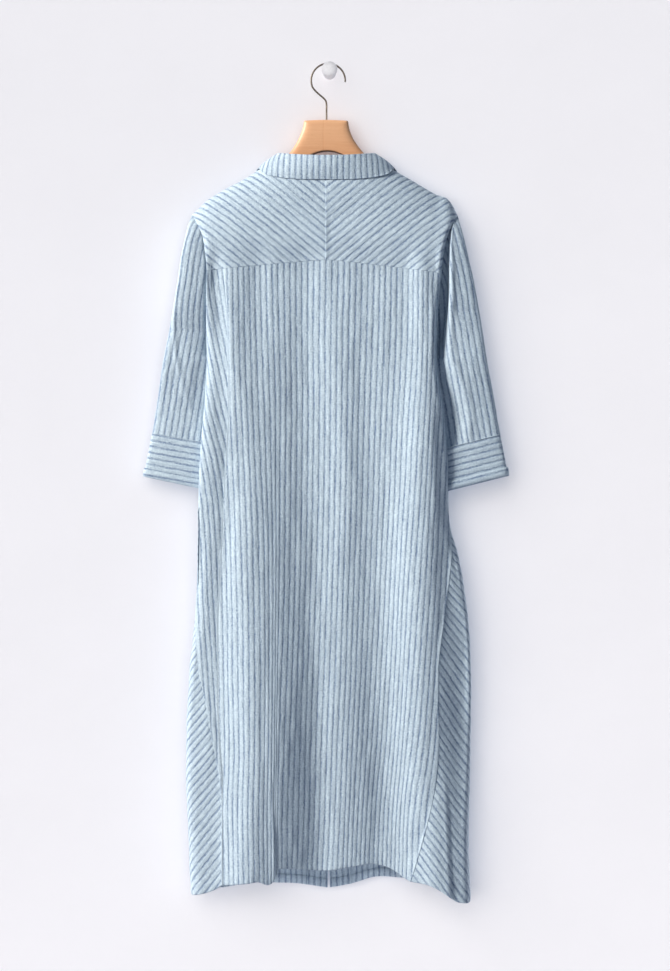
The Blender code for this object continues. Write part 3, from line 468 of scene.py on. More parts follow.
def add_piece(name, data, stands_for=None):
    """An object on the dress's one body, in place of the solid that it stands for."""
    made = bpy.data.objects.new(name, data)
    bpy.context.collection.objects.link(made)
    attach(made, "root")
    if stands_for:
        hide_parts(stands_for)
    return made


def cloth_piece(name, points, cut, outward, missing=None):
    """One piece of cloth, standing for the solid of its name."""
    mesh = grid_mesh(name + "_cloth", points, cut, outward, missing)
    mesh.materials.append(cotton)
    made = add_piece(name + "_cloth", mesh, name)
    thick = made.modifiers.new("thickness of the cloth", "SOLIDIFY")
    thick.thickness = CLOTH
    thick.offset = 0


def sew(name, points, cut, outward, seed, strength=1.0, stitched=(), laps=(),
        tucks=(), hems=()):
    """Crinkle a piece, mark its lines of stitches, turn its edges and hang it in its place."""
    points = puckered(points, cut, outward, seed, strength)
    for edge, inset in stitched:
        topstitch(points, outward, edge, inset)
    points, cut = sewn(points, cut, outward, laps, tucks, hems)
    cloth_piece(name, points, cut, outward)


def shade(red, green, blue):
    """A linear colour from a paint chart's values of 0 to 255."""
    chart = np.array([red, green, blue]) / 255
    linear = np.where(chart <= 0.04045, chart / 12.92, ((chart + 0.055) / 1.055) ** 2.4)
    return (*(float(c) for c in linear), 1.0)


def add_node(tree, kind, inputs=(), **settings):
    """A shader node with its settings, its inputs set to values or joined to sockets."""
    made = tree.nodes.new(kind)
    for key, value in settings.items():
        setattr(made, key, value)
    for key, value in dict(inputs).items():
        if isinstance(value, bpy.types.NodeSocket):
            tree.links.new(value, made.inputs[key])
        else:
            made.inputs[key].default_value = value
    return made


def count(tree, operation, *values):
    """The result of one step of arithmetic."""
    return add_node(tree, "ShaderNodeMath", dict(enumerate(values)), operation=operation).outputs[0]


def weighted(tree, *parts, plus=None):
    """The sum of values, each with its weight, and of a constant."""
    terms = [count(tree, "MULTIPLY", value, weight) for value, weight in parts]
    total = terms[0]
    for term in terms[1:] + ([] if plus is None else [plus]):
        total = count(tree, "ADD", total, term)
    return total


def mix(tree, share, start, end):
    """The start colour where the share is 0 and the end colour where it is 1."""
    return add_node(tree, "ShaderNodeMix", {"Factor": share, 6: start, 7: end},
                    data_type="RGBA").outputs[2]


def grain(tree, place_on, stretch, detail=2.0, roughness=0.55):
    """Noise over cells of the size given by stretch, in metres."""
    scaled = add_node(tree, "ShaderNodeVectorMath", {0: place_on, 1: tuple(1 / s for s in stretch)},
                      operation="MULTIPLY").outputs[0]
    return add_node(tree, "ShaderNodeTexNoise", {"Vector": scaled, "Scale": 1.0, "Detail": detail,
                                                 "Roughness": roughness}).outputs["Fac"]


def stepped(tree, value, start, end):
    return add_node(tree, "ShaderNodeMapRange", {"Value": value, "From Min": start, "From Max": end},
                    interpolation_type="SMOOTHSTEP").outputs["Result"]


def build_striped_weave():
    """Node group: slubby yarn-dyed stripes and the crinkled relief between them."""
    tree = bpy.data.node_groups.new("crinkled striped weave", "ShaderNodeTree")
    sockets = (("Cut", "INPUT", "NodeSocketVector", None),
               ("Pitch", "INPUT", "NodeSocketFloat", PITCH),
               ("Stripe Share", "INPUT", "NodeSocketFloat", STRIPE_SHARE),
               ("Ground", "INPUT", "NodeSocketColor", (1, 1, 1, 1)),
               ("Stripe", "INPUT", "NodeSocketColor", (0, 0, 0, 1)),
               ("Colour", "OUTPUT", "NodeSocketColor", None),
               ("Height", "OUTPUT", "NodeSocketFloat", None),
               ("Roughness", "OUTPUT", "NodeSocketFloat", None))
    for name, way, kind, value in sockets:
        socket = tree.interface.new_socket(name=name, in_out=way, socket_type=kind)
        if value is not None:
            socket.default_value = value
    given = add_node(tree, "NodeGroupInput").outputs
    result = add_node(tree, "NodeGroupOutput").inputs
    cut = given["Cut"]
    across = add_node(tree, "ShaderNodeSeparateXYZ", {"Vector": cut}).outputs["X"]

    # the yarns wander a little to each side
    slow = count(tree, "SUBTRACT", grain(tree, cut, (0.014, 0.034, 1), 1.0), 0.5)
    quick = count(tree, "SUBTRACT", grain(tree, cut, (0.006, 0.0075, 1)), 0.5)
    moved = count(tree, "ADD", across, weighted(tree, (slow, 0.0016), (quick, 0.0018)))
    turn = count(tree, "FRACT", count(tree, "DIVIDE", moved, given["Pitch"]))
    from_middle = count(tree, "ABSOLUTE", count(tree, "SUBTRACT", turn, 0.5))   # 0.5 on the line

    # the line is 1 on the stripe and 0 on the ground, and its slubby yarn comes and goes
    half = count(tree, "MULTIPLY", given["Stripe Share"], 0.5)
    uneven = count(tree, "MULTIPLY",
                   count(tree, "SUBTRACT", grain(tree, cut, (0.0018, 0.0036, 1), 3.0), 0.5), 0.42)
    start = count(tree, "SUBTRACT", count(tree, "SUBTRACT", 0.5, half), 0.07)
    line = stepped(tree, count(tree, "ADD", from_middle, uneven), start,
                   count(tree, "ADD", start, 0.15))
    long_slub = stepped(tree, grain(tree, cut, (0.005, 0.026, 1), 2.0, 0.6), 0.34, 0.64)
    short_slub = stepped(tree, grain(tree, cut, (0.0019, 0.0028, 1), 3.0, 0.7), 0.38, 0.6)
    slub = weighted(tree, (long_slub, 0.38), (short_slub, 0.48), plus=0.24)
    line = count(tree, "MULTIPLY", line, slub)

    # heathered ground: fine pale and grey-blue threads both ways
    warp = grain(tree, cut, (0.0016, 0.012, 1), 3.0, 0.7)
    weft = grain(tree, cut, (0.007, 0.0015, 1), 3.0, 0.7)
    heather = stepped(tree, weighted(tree, (warp, 0.55), (weft, 0.45)), 0.42, 0.58)
    patchy = stepped(tree, grain(tree, cut, (0.005, 0.06, 1)), 0.35, 0.65)
    tint = weighted(tree, (heather, 0.3), (patchy, 0.12))
    ground = mix(tree, tint, given["Ground"], given["Stripe"])
    pale_line = mix(tree, count(tree, "MULTIPLY", heather, 0.25), given["Stripe"], given["Ground"])
    tree.links.new(mix(tree, line, ground, pale_line), result["Colour"])

    # the ground crinkles up between the flat stripes
    from_line = count(tree, "MULTIPLY", from_middle, 2.0)
    bulge = count(tree, "SUBTRACT", 1.0, count(tree, "POWER", from_line, 2.0))
    crease = grain(tree, cut, (0.0036, 0.0085, 1), 3.0, 0.7)
    crimp = grain(tree, cut, (0.0042, 0.0024, 1), 3.0, 0.7)
    tree.links.new(weighted(tree, (bulge, 0.46), (crease, 0.65), (crimp, 0.75)), result["Height"])
    tree.links.new(weighted(tree, (heather, 0.1), plus=0.8), result["Roughness"])
    return tree


def new_finish(name):
    """A new material and the tree of its shader."""
    made = bpy.data.materials.new(name)
    made.use_nodes = True
    return made, made.node_tree


def own_space(tree):
    """Places on the piece, in metres along its own axes."""
    return add_node(tree, "ShaderNodeTexCoord").outputs["Object"]


def join_finish(tree, colour, roughness, height, strength, distance, even=()):
    """Join a finish's colour, roughness and relief to its shader, and set what is even all over."""
    shader = tree.nodes["Principled BSDF"]
    relief = add_node(tree, "ShaderNodeBump", {"Height": height, "Strength": strength,
                                               "Distance": distance})
    tree.links.new(colour, shader.inputs["Base Color"])
    tree.links.new(roughness, shader.inputs["Roughness"])
    tree.links.new(relief.outputs["Normal"], shader.inputs["Normal"])
    for name, value in dict(even).items():
        shader.inputs[name].default_value = value
    return shader


cotton, tree = new_finish("striped_crinkle_cotton")
weave = add_node(tree, "ShaderNodeGroup", node_tree=build_striped_weave())
for name, colour in (("Ground", shade(203, 219, 230)), ("Stripe", shade(87, 110, 147))):
    weave.inputs[name].default_value = colour
tree.links.new(add_node(tree, "ShaderNodeUVMap", uv_map="cut").outputs["UV"], weave.inputs["Cut"])
join_finish(tree, weave.outputs["Colour"], weave.outputs["Roughness"], weave.outputs["Height"],
            1.0, 0.0012, {"Specular IOR Level": 0.6, "Sheen Weight": 0.04, "Sheen Roughness": 0.5})
TO_ROOM = np.array([0.0, -1.0, 0.0])
TO_WALL = -TO_ROOM


def back_hem_drop(x):
    return curve(BACK_HEM, "drop", x, key="x")


points = panel_grid(lambda d: insert_seam(d, -1) + SEAM / 2, lambda d: insert_seam(d, 1) - SEAM / 2,
                    back_off, lambda x: back_yoke_drop(x) + SEAM / 2, back_hem_drop,
                    BACK_COLUMNS, BACK_ROWS)
x, down = points[..., 0], -points[..., 2]
cut = np.stack([row_lengths(points, CENTRE) + drift(x, down), down], axis=-1)
sew("back_panel", points, cut, TO_ROOM, seed=1,
    stitched=(("left", BACK_INSET), ("right", BACK_INSET), ("bottom", HEM_DEPTH)),
    laps=("left", "right"), tucks=("top",), hems=("bottom",))


# ================================================================ yoke
# The yoke is cut on the bias in two halves that meet in a seam down the middle of the back, so that
# its stripes form a V. It runs over the shoulders to a seam on the front, and is two layers thick.
FRONT_FALL = 0.05               # drop over which the front rounds off the shoulder ridge
FRONT_TURN = 0.08               # width over which it rounds off its side folds
FRONT_YOKE = 0.03               # the yoke reaches this far down the front at the neck
FRONT_YOKE_SLOPE = 0.59         # fall of that seam from the neck to the armhole
NECK_HALF = 0.088               # half the width of the neck hole
NECK_BACK = 0.16                # drop of the neck seam at the centre back
NECK_BACK_POWER = 2.5
NECK_FRONT = 0.232              # drop of the neck seam at the centre front
NECK_POWER = 2.6                # squareness of the neckline
YOKE_BACK_ROWS = 66             # rows from the back seam to the shoulder ridge
YOKE_FRONT_ROWS = 20            # rows from there to the front seam
YOKE_NECK_COLUMNS = 36          # columns between the centre seam and the neck's side
YOKE_SIDE_COLUMNS = 46          # columns from there to the armhole
YOKE_INSET = 0.0016             # from a yoke seam to its line of stitches
BIAS = radians(40)              # fall of the stripes towards the centre seam
BIAS_STRETCH = 0.98             # cloth cut on the bias gives by this much

FRONT_FOLDS = rows_of(FOLD, [
    (-0.15, -0.1544, -0.1581, -0.164, -0.001, -0.0045, -0.0069, -0.0089, -0.011, 0.026, 0.03),
    (-0.123, -0.1237, -0.1224, -0.118, 0.001, 0.0028, 0.0036, 0.0038, 0.0035, 0.02, 0.026),
    (-0.089, -0.0838, -0.0812, -0.079, -0.001, -0.0028, -0.0053, -0.0073, -0.009, 0.022, 0.024),
    (-0.05, -0.047, -0.0455, -0.044, 0.0005, 0.0018, 0.0026, 0.0032, 0.0035, 0.017, 0.018),
    (0.042, 0.0442, 0.0458, 0.048, 0.0, -0.0018, -0.0039, -0.0053, -0.006, 0.018, 0.022),
    (0.076, 0.0782, 0.0806, 0.085, 0.001, 0.0023, 0.0035, 0.004, 0.004, 0.02, 0.019),
    (0.108, 0.1102, 0.1131, 0.119, -0.002, -0.0042, -0.0061, -0.0079, -0.01, 0.021, 0.026),
    (0.14, 0.1459, 0.1511, 0.16, 0.001, 0.0019, 0.0026, 0.003, 0.003, 0.018, 0.022)])


def front_off(x, drop):
    """Distance off the wall of the front's cloth."""
    dome = quarter((drop - ridge(x)) / FRONT_FALL)
    roll = quarter(np.minimum(x - edge_x(drop, -1), edge_x(drop, 1) - x) / FRONT_TURN)
    middle = curve(DEPTHS, "front", drop)
    edge = np.where(np.asarray(drop) < ARMPIT, curve(DEPTHS, "front_edge", drop),
                    curve(DEPTHS, "back_edge", drop))
    level = edge + (middle - edge - folds(FRONT_FOLDS, x, drop)) * roll
    return HANG + (level - HANG) * dome


def neck_side(x):
    """Drop of the side of the neck nearest to x, and the share of the way there from the centre."""
    return (ridge(CENTRE + np.sign(x - CENTRE) * NECK_HALF),
            np.clip(abs(x - CENTRE) / NECK_HALF, 0, 1))


def front_neck_drop(x):
    side, t = neck_side(x)
    return side + (NECK_FRONT - side) * (1 - t ** NECK_POWER) ** (1 / NECK_POWER)


def back_neck_drop(x):
    side, t = neck_side(x)
    return NECK_BACK + (side - NECK_BACK) * t ** NECK_BACK_POWER


def front_top_drop(x):
    straight = neck_side(x)[0] + FRONT_YOKE + FRONT_YOKE_SLOPE * (abs(x - CENTRE) - NECK_HALF)
    return np.maximum(front_neck_drop(x), straight)


def yoke_grid(side):
    """Columns of a yoke half, from the back seam over the ridge to the front seam or the neck.

    Also tells which points are missing, because the columns at the neck stop behind the ridge.
    """
    tip = SHOULDER[0] if side < 0 else SHOULDER[-1]
    neck = NECK_HALF / abs(tip.x - CENTRE)
    places = np.concatenate([[0, 0.004], np.linspace(0.014, neck, YOKE_NECK_COLUMNS),
                             np.linspace(neck, 0.994, YOKE_SIDE_COLUMNS)[1:], [1.0]])
    columns = []
    for share in places:
        def across(drop):
            reach = edge_x(drop, side) - CENTRE
            return CENTRE + side * SEAM / 2 * (1 - 2 * share) + share * reach

        top_x = CENTRE + share * (tip.x - CENTRE)
        top = float(ridge(top_x))
        low, ahead = YOKE_SIDE[side > 0], top + FRONT_YOKE
        for _ in range(SETTLE):
            low = float(back_yoke_drop(across(low))) - SEAM / 2
            ahead = float(front_top_drop(across(ahead))) - SEAM / 2
        behind = np.sqrt((low - top) / BACK_FALL)
        end = np.sqrt(max(float(back_neck_drop(top_x)) - top, 0) / BACK_FALL)
        if share < neck - 1e-9:
            way = np.concatenate([behind + (end - behind) * shares(YOKE_BACK_ROWS),
                                  np.full(YOKE_FRONT_ROWS - 1, end)])
        else:
            way = np.concatenate([behind * (1 - shares(YOKE_BACK_ROWS)),
                                  -np.sqrt((ahead - top) / FRONT_FALL)
                                  * np.linspace(0, 1, YOKE_FRONT_ROWS)[1:]])
        drop = top + np.where(way > 0, BACK_FALL, FRONT_FALL) * way * way
        safe = np.maximum(drop, ridge(across(drop)))
        off = np.where(way > 0, back_off(across(drop), safe), front_off(across(drop), safe))
        columns.append(place(across(drop), off, drop))
    rows = np.arange(YOKE_BACK_ROWS + YOKE_FRONT_ROWS - 1)
    return (np.stack(columns, axis=1),
            (rows[:, None] >= YOKE_BACK_ROWS) & (places[None, :] < neck - 1e-9))


for side, word in ((-1, "left"), (1, "right")):
    points, missing = yoke_grid(side)
    outward = unit(np.array([side * 0.1, -1.0, 0.35]))
    out = abs(points[..., 0] - CENTRE)
    down = -points[0, :, 2] - run_along(points) - YOKE_MIDDLE
    cut = np.stack([out * sin(BIAS) + down * cos(BIAS), out * cos(BIAS) - down * sin(BIAS)],
                   axis=-1) * BIAS_STRETCH
    points = puckered(points, cut, outward, seed=20 + side, strength=0.6)
    for edge in ("top", "right"):
        topstitch(points, outward, edge, YOKE_INSET)
    topstitch(points, outward, "bottom", YOKE_INSET, span=slice(YOKE_NECK_COLUMNS + 2, None))
    if side > 0:
        topstitch(points, outward, "left", YOKE_INSET, span=slice(0, YOKE_BACK_ROWS))
    centre = dict(laps=("left",)) if side > 0 else dict(tucks=("left",))
    points, cut = sewn(points, cut, outward, **centre)
    points, cut = sewn(points, cut, outward, laps=("top", "bottom", "right"))
    extra = len(LAP)
    missing = np.pad(missing, ((extra, extra), (extra if side > 0 else len(TUCK), extra)),
                     mode="edge")
    cloth_piece("yoke_" + word, points, cut, outward,
                missing=missing)


# ================================================================ fronts and button bands
# Two straight-grain fronts hang from the yoke's front seam and the neckline. Each ends in a folded
# band, and the right band, with the buttonholes, laps over the left one down to the last button.
PLACKET_HALF = 0.016            # half the width of a band
OPENS_AT = 1.08                 # drop where the fronts part below the last button
OPEN_TO = 1.27
BAND_SWING = (-0.016, 0.023)    # how far the left and the right band swing aside at the hem
LAYER = 0.0026                  # step from the left front to the right one that laps over it
LAP_FADE = 0.034                # width over which that step fades out beyond the band
LAP_FULL = (0.03, 0.11)         # x up to which it is full, and x at which it ends
FRONT_COLUMNS = 72
BAND_COLUMNS = 14
FRONT_ROWS = 250
BAND_INSET = 0.0022             # from a band's edge to its line of stitches
FRONT_HEM = rows_of("x drop", [
    (-0.214, 1.276), (-0.0816, 1.2639), (-0.0336, 1.2685), (0.0, 1.2725), (0.0313, 1.2672),
    (0.0649, 1.257), (0.1008, 1.256), (0.218, 1.27)])


def band_shift(drop, side):
    return BAND_SWING[side > 0] * ramp(drop, OPENS_AT, OPEN_TO)


def front_layer(side):
    """The front's surface on one layer: the right front lies nearer the wall."""
    def surface(x, drop):
        lap = ramp(x, CENTRE - PLACKET_HALF - LAP_FADE, CENTRE - PLACKET_HALF)
        lap = lap * ramp(-x, -LAP_FULL[1], -LAP_FULL[0])
        return front_off(x, drop) - (LAYER * lap if side > 0 else 0.0)
    return surface


def front_hem_drop(x):
    return curve(FRONT_HEM, "drop", x, key="x")


def under_yoke_drop(x):
    return front_top_drop(x) + SEAM


for side, word in ((-1, "left"), (1, "right")):
    def band_seam(drop):
        return CENTRE + side * PLACKET_HALF + band_shift(drop, side)

    def band_edge(drop):
        return CENTRE - side * PLACKET_HALF + band_shift(drop, side)

    points = panel_grid(lambda d: insert_seam(d, side), band_seam, front_layer(side),
                        under_yoke_drop, front_hem_drop, FRONT_COLUMNS, FRONT_ROWS)
    cut = np.stack([row_lengths(points, CENTRE + side * 0.1), -points[..., 2]], axis=-1)
    sew("front_" + word, points, cut, TO_WALL, seed=40 + side,
        stitched=(("bottom", HEM_DEPTH),), laps=("left",), tucks=("top", "right"),
        hems=("bottom",))

    points = panel_grid(band_seam, band_edge, front_layer(side), under_yoke_drop, front_hem_drop,
                        BAND_COLUMNS, FRONT_ROWS)
    cut = np.stack([row_lengths(points, CENTRE), -points[..., 2]], axis=-1)
    sew("placket_" + word, points, cut, TO_WALL, seed=50 + side,
        strength=0.35, laps=("left", "right"), tucks=("top",), hems=("bottom",),
        stitched=(("left", BAND_INSET), ("right", BAND_INSET), ("bottom", HEM_DEPTH)))


# ================================================================ side inserts
# A bias insert widens the skirt at each side, from the hip to the hem. It wraps from the back seam
# round the side to the front seam, and its stripes run aslant against those of the back.
INSERT_HEM = rows_of("x drop", [
    (-0.214, 1.2793), (-0.1655, 1.27), (0.1221, 1.2558), (0.1595, 1.264), (0.1829, 1.2777),
    (0.195, 1.286), (0.218, 1.2895)])
INSERT_ROWS = 180
INSERT_COLUMNS = 44
INSERT_SWING = (0.022, 0.06)    # the stripes swing towards the level over the inserts' upper part
LINE = 400                      # points of a line before it is divided into even steps


def fine():
    """Shares from 0 to 1, closer together near both ends."""
    return (1 - np.cos(np.linspace(0, pi, LINE))) / 2


def even(line, columns):
    """Points along a fine line at the usual shares of its length, and lengths from its middle."""
    way = run_along(line)
    at = shares(columns) * way[-1]
    return read_along(line, way, at), at - (way[len(way) // 2] + way[(len(way) - 1) // 2]) / 2


def insert_line(side, share, surface, panel_hem):
    """Half a row of an insert, from one seam to the side fold."""
    t = fine()
    x = insert_seam(np.full_like(t, 1.0), side)
    for _ in range(SETTLE):
        own = curve(INSERT_HEM, "drop", x, key="x")
        low = panel_hem(x) * (1 - t) ** 4 + own * (1 - (1 - t) ** 4)
        drop = INSERTS_FROM + (low - INSERTS_FROM) * share
        x = insert_seam(drop, side) * (1 - t) + edge_x(drop, side) * t
    return place(x, surface(x, drop), drop)


# lean: lengths of cloth across the stripes for each metre outwards and each metre down
for side, word, lean, flat, area in ((-1, "left", (0.774, 0.678), (0.18, 0.62), 0.05),
                                     (1, "right", (0.741, -0.574), (0.26, 0.64), 0.08)):
    rows = []
    for share in shares(INSERT_ROWS):
        behind = insert_line(side, max(share, 1e-4), back_off, back_hem_drop)
        ahead = insert_line(side, max(share, 1e-4), front_off, front_hem_drop)
        rows.append(even(np.concatenate([behind, ahead[::-1][1:]]), INSERT_COLUMNS))
    points, out = (np.stack(part) for part in zip(*rows))
    outward, down = np.array([side * 1.0, 0.0, 0.0]), -points[..., 2]
    swing = INSERT_SWING[0] * np.exp((INSERTS_FROM - down) / INSERT_SWING[1])
    cut = np.stack([side * out * lean[0] + (down - swing) * lean[1],
                    side * out * lean[1] - down * lean[0]], axis=-1)
    sew("gusset_" + word, points, cut, outward, seed=60 + side,
        stitched=(("bottom", HEM_DEPTH),), tucks=("top", "left", "right"), hems=("bottom",))


# ================================================================ sleeves and cuffs
# Each sleeve is set into its armhole and hangs straight down beside the body, its stripes along its
# length. A deep fold runs down it beside the armhole seam. The cuff is a folded band cut across the
# stripes, sewn to the sleeve with its seam allowance inside.

# drop and x of the outer fold, and half the sleeve's depth
LEFT_SLEEVE = rows_of("drop outer depth", [
    (0.2262, -0.2136, 0.004), (0.2389, -0.218, 0.006), (0.2674, -0.2248, 0.008),
    (0.3312, -0.2349, 0.01), (0.4027, -0.2468, 0.011), (0.478, -0.2607, 0.011),
    (0.5656, -0.2753, 0.011), (0.6311, -0.2879, 0.011)])
RIGHT_SLEEVE = rows_of("drop outer depth", [
    (0.2282, 0.1996, 0.004), (0.2518, 0.2055, 0.01), (0.3155, 0.221, 0.015),
    (0.3828, 0.2334, 0.017), (0.4503, 0.2434, 0.018), (0.5138, 0.2552, 0.019),
    (0.5678, 0.2645, 0.019), (0.63, 0.2765, 0.019)])

# drops of the cuff's seam and of its lower edge
LEFT_CUFF = rows_of("outer inner", [(0.5656, 0.5805), (0.6311, 0.6505)])
RIGHT_CUFF = rows_of("outer inner", [(0.5678, 0.59), (0.63, 0.6545)])
SLEEVE_MIDDLE = (0.033, 0.04)   # distance of each hanging sleeve's middle off the wall
SLEEVE_TUCK = 0.004             # the sleeve's inner fold lies this far behind the body's edge
SLEEVE_UNDER = 0.0024           # it starts this far under the body's edge above the underarm
SLEEVE_WALL = 0.014             # share of the width over which it turns down into its own fold
SLEEVE_FLATNESS = 0.15          # the hanging sleeve is flatter than an oval
SLEEVE_BELOW = 0.1              # drop under the underarm over which it leaves the body's form
SLEEVE_START = 0.0012           # from the shoulder's tip to its first ring
CUFF_INSETS = (0.0018, 0.004)   # from the cuff's seam and its lower edge to their stitches
SLEEVE_ROWS = 120
CUFF_ROWS = 26
SLEEVE_COLUMNS = 92
LIP = (0.12, 0.03, 0.06)        # the fold's raised lip: share of its depth, place and width

# a shallow slope down to the armhole seam
LEFT_GATHER = rows_of("drop edge depth slope", [
    (0.226, 0.95, 0.002, 1.75), (0.252, 0.95, 0.006, 1.75), (0.298, 0.95, 0.009, 1.75),
    (0.391, 0.9, 0.0125, 1.65), (0.45, 0.7, 0.011, 1.25), (0.5, 0.45, 0.0075, 0.8),
    (0.545, 0.25, 0.0035, 0.45), (0.582, 0.25, 0.0006, 0.45)])
# a deep fold beside the armhole seam, sharp above and soft below
RIGHT_GATHER = rows_of("drop edge depth slope", [
    (0.23, 0.3, 0.003, 0.1), (0.252, 0.33, 0.006, 0.1), (0.298, 0.36, 0.013, 0.08),
    (0.345, 0.36, 0.021, 0.08), (0.391, 0.31, 0.02, 0.13), (0.437, 0.29, 0.013, 0.27),
    (0.483, 0.42, 0.011, 0.4), (0.53, 0.5, 0.01, 0.42), (0.575, 0.42, 0.006, 0.28),
    (0.59, 0.4, 0.0006, 0.25)])


def sleeve_relief(table, share, drop):
    """Drop of the sleeve's surface between the armhole seam and the edge of its fold."""
    edge, depth, slope = (curve(table, name, drop) for name in ("edge", "depth", "slope"))
    low = 1 - ramp(share, edge - slope, edge)
    lip = np.exp(-((share - edge - LIP[1]) / LIP[2]) ** 2)
    return depth * (LIP[0] * lip - low) * ramp(share, 0, SLEEVE_WALL)


def sleeve_line(side, table, relief, inner_drop, outer_drop):
    """One ring of a sleeve, from the back seam round the outer fold to the front seam."""
    x_edge = float(edge_x(inner_drop, side))
    x_out = float(curve(table, "outer", outer_drop))
    off_back, off_front = float(back_off(x_edge, inner_drop)), float(front_off(x_edge, inner_drop))
    above = inner_drop <= ARMPIT + 1e-6
    half_gap = (off_back - off_front) / 2 if above else 0.0
    depth = max(float(curve(table, "depth", outer_drop)), half_gap)
    gap = min(half_gap / depth, 1.0)
    below = float(ramp(inner_drop, ARMPIT, ARMPIT + SLEEVE_BELOW))
    middle = (off_back + off_front) / 2
    if not above:
        middle = float(curve(DEPTHS, "back_edge", ARMPIT))
        middle = middle + (SLEEVE_MIDDLE[side > 0] - middle) * below
    reach = pi - np.arcsin(gap)
    psi = reach * (1 - 2 * fine())
    width = (np.cos(psi) - cos(reach)) / (1 - cos(reach))
    x_in = x_edge - side * (SLEEVE_UNDER + (SLEEVE_TUCK - SLEEVE_UNDER) * below)
    x = x_in + (x_out - x_in) * width
    drop = inner_drop + (outer_drop - inner_drop) * width
    flattened = np.sign(np.sin(psi)) * abs(np.sin(psi)) ** SLEEVE_FLATNESS
    rise = flattened - (flattened[0] - gap) * np.sign(psi) * abs(psi / reach) ** 6
    off = middle + depth * rise - SLEEVE_UNDER * gap * np.sign(psi) * (1 - ramp(width, 0.03, 0.2))
    if relief is not None:
        off = off + sleeve_relief(relief, width, drop) * ramp(np.sin(psi), -0.1, 0.4)
    return place(x, off, drop)


def tube(rings, start):
    """Points of a tube of rings, and its lengths round it from the outer fold and down it."""
    points, around = (np.stack(part) for part in zip(*(even(ring, SLEEVE_COLUMNS)
                                                       for ring in rings)))
    return points, around, start + run_along(points)


for side, word, table, cuff, relief in (
        (-1, "left", LEFT_SLEEVE, LEFT_CUFF, LEFT_GATHER),
        (1, "right", RIGHT_SLEEVE, RIGHT_CUFF, RIGHT_GATHER)):
    outward = np.array([side * 1.0, 0.0, 0.0])
    start = SHOULDER[0 if side < 0 else -1].drop + SLEEVE_START
    rings = []
    for share in shares(SLEEVE_ROWS):
        inner = start + (cuff[0].inner - SEAM / 2 - start) * share
        part = (inner - ARMPIT) / (cuff[0].inner - ARMPIT)
        outer = inner if inner <= ARMPIT else ARMPIT + (cuff[0].outer - ARMPIT) * part
        rings.append(sleeve_line(side, table, relief, inner, outer))
    points, around, down = tube(rings, start)
    cut = np.stack([around, down], axis=-1)
    sew("sleeve_" + word, points, cut, outward, seed=80 + side,
        tucks=("top", "bottom", "left", "right"))

    rings = []
    for share in shares(CUFF_ROWS):
        outer = cuff[0].outer + SEAM / 2 + (cuff[1].outer - cuff[0].outer) * share
        inner = cuff[0].inner + SEAM / 2 + (cuff[1].inner - cuff[0].inner) * share
        rings.append(sleeve_line(side, table, None, inner, outer))
    points, around, down = tube(rings, 0.0)
    cut = np.stack([down - SLEEVE_START, around], axis=-1)
    sew("cuff_" + word, points, cut, outward, seed=90 + side, strength=0.4,
        stitched=(("top", CUFF_INSETS[0]), ("bottom", CUFF_INSETS[1])), laps=("top",),
        tucks=("left", "right"), hems=("bottom",))


# ================================================================ collar
# A shirt collar: the stand is sewn to the neckline and the leaf turns down over it, to two points at
# the front. Its stripes run up and down at the centre back.

# angle round the neck from the centre back, and reach from the middle
LEAF_EDGE = rows_of("angle half drop", [
    (0, 0.0, 0.1735), (30, 0.053, 0.1725), (60, 0.093, 0.166), (88, 0.1075, 0.154),
    (105, 0.112, 0.185), (125, 0.112, 0.215), (150, 0.096, 0.256), (175, 0.07, 0.285)])
FOLD_HALF = 0.0735              # half the width of the collar's fold line
FOLD_BACK = 0.0265              # its reach behind the hanger's plane
FOLD_FRONT = 0.0205             # its reach towards the wall
FOLD_DROPS = (0.1358, 0.1303, 0.206)    # drops at the back, the sides and the front
LEAF_LIFT = 0.0022              # the leaf's lower edge lies this far off the body
LEAF_START = 0.0024             # the leaf starts this far outside the fold line
LEAF_ABOVE = 0.0006             # and this far above it
LEAF_BULGE = 0.0035             # and bows this far out between the fold and its edge
LEAF_INSET = 0.005              # from the leaf's edge to its line of stitches
STAND_START = 0.0015            # the stand starts this far above the neck seam
LEAF_CROSSES = 88               # angle at which the leaf's edge crosses the shoulder ridge
LEAF_END = 175                  # angle at which the leaf stops short of the centre front
STAND_END = 179.3               # angle at which the stand's ends meet there
COLLAR_STATIONS = 230
COLLAR_ROWS = 20


def neck_point(angle):
    """The neck seam at an angle round the neck, 0 at the centre back."""
    swing = radians(abs(angle))
    side = np.sign(angle) if angle else 1
    if abs(angle) <= 90:
        x = CENTRE + side * NECK_HALF * sin(swing)
        drop = float(back_neck_drop(x))
        return place(x, back_off(x, drop), drop)
    x = CENTRE + side * NECK_HALF * sin(swing) ** (2 / NECK_POWER)
    drop = float(front_neck_drop(x))
    return place(x, front_layer(angle)(x, drop), drop)


def fold_point(angle):
    """The collar's fold line, where the leaf turns down over the stand."""
    swing = radians(abs(angle))
    side = np.sign(angle) if angle else 1
    at_back, at_side, at_front = FOLD_DROPS
    if abs(angle) <= 90:
        off = HANG + FOLD_BACK * cos(swing)
        drop = at_side + (at_back - at_side) * cos(swing) ** 2
        return place(CENTRE + side * FOLD_HALF * sin(swing), off, drop)
    share = -cos(swing)
    off = HANG - FOLD_FRONT * share
    drop = at_side + (at_front - at_side) * share ** 1.6
    return place(CENTRE + side * FOLD_HALF * sin(swing) ** (2 / NECK_POWER), off, drop)


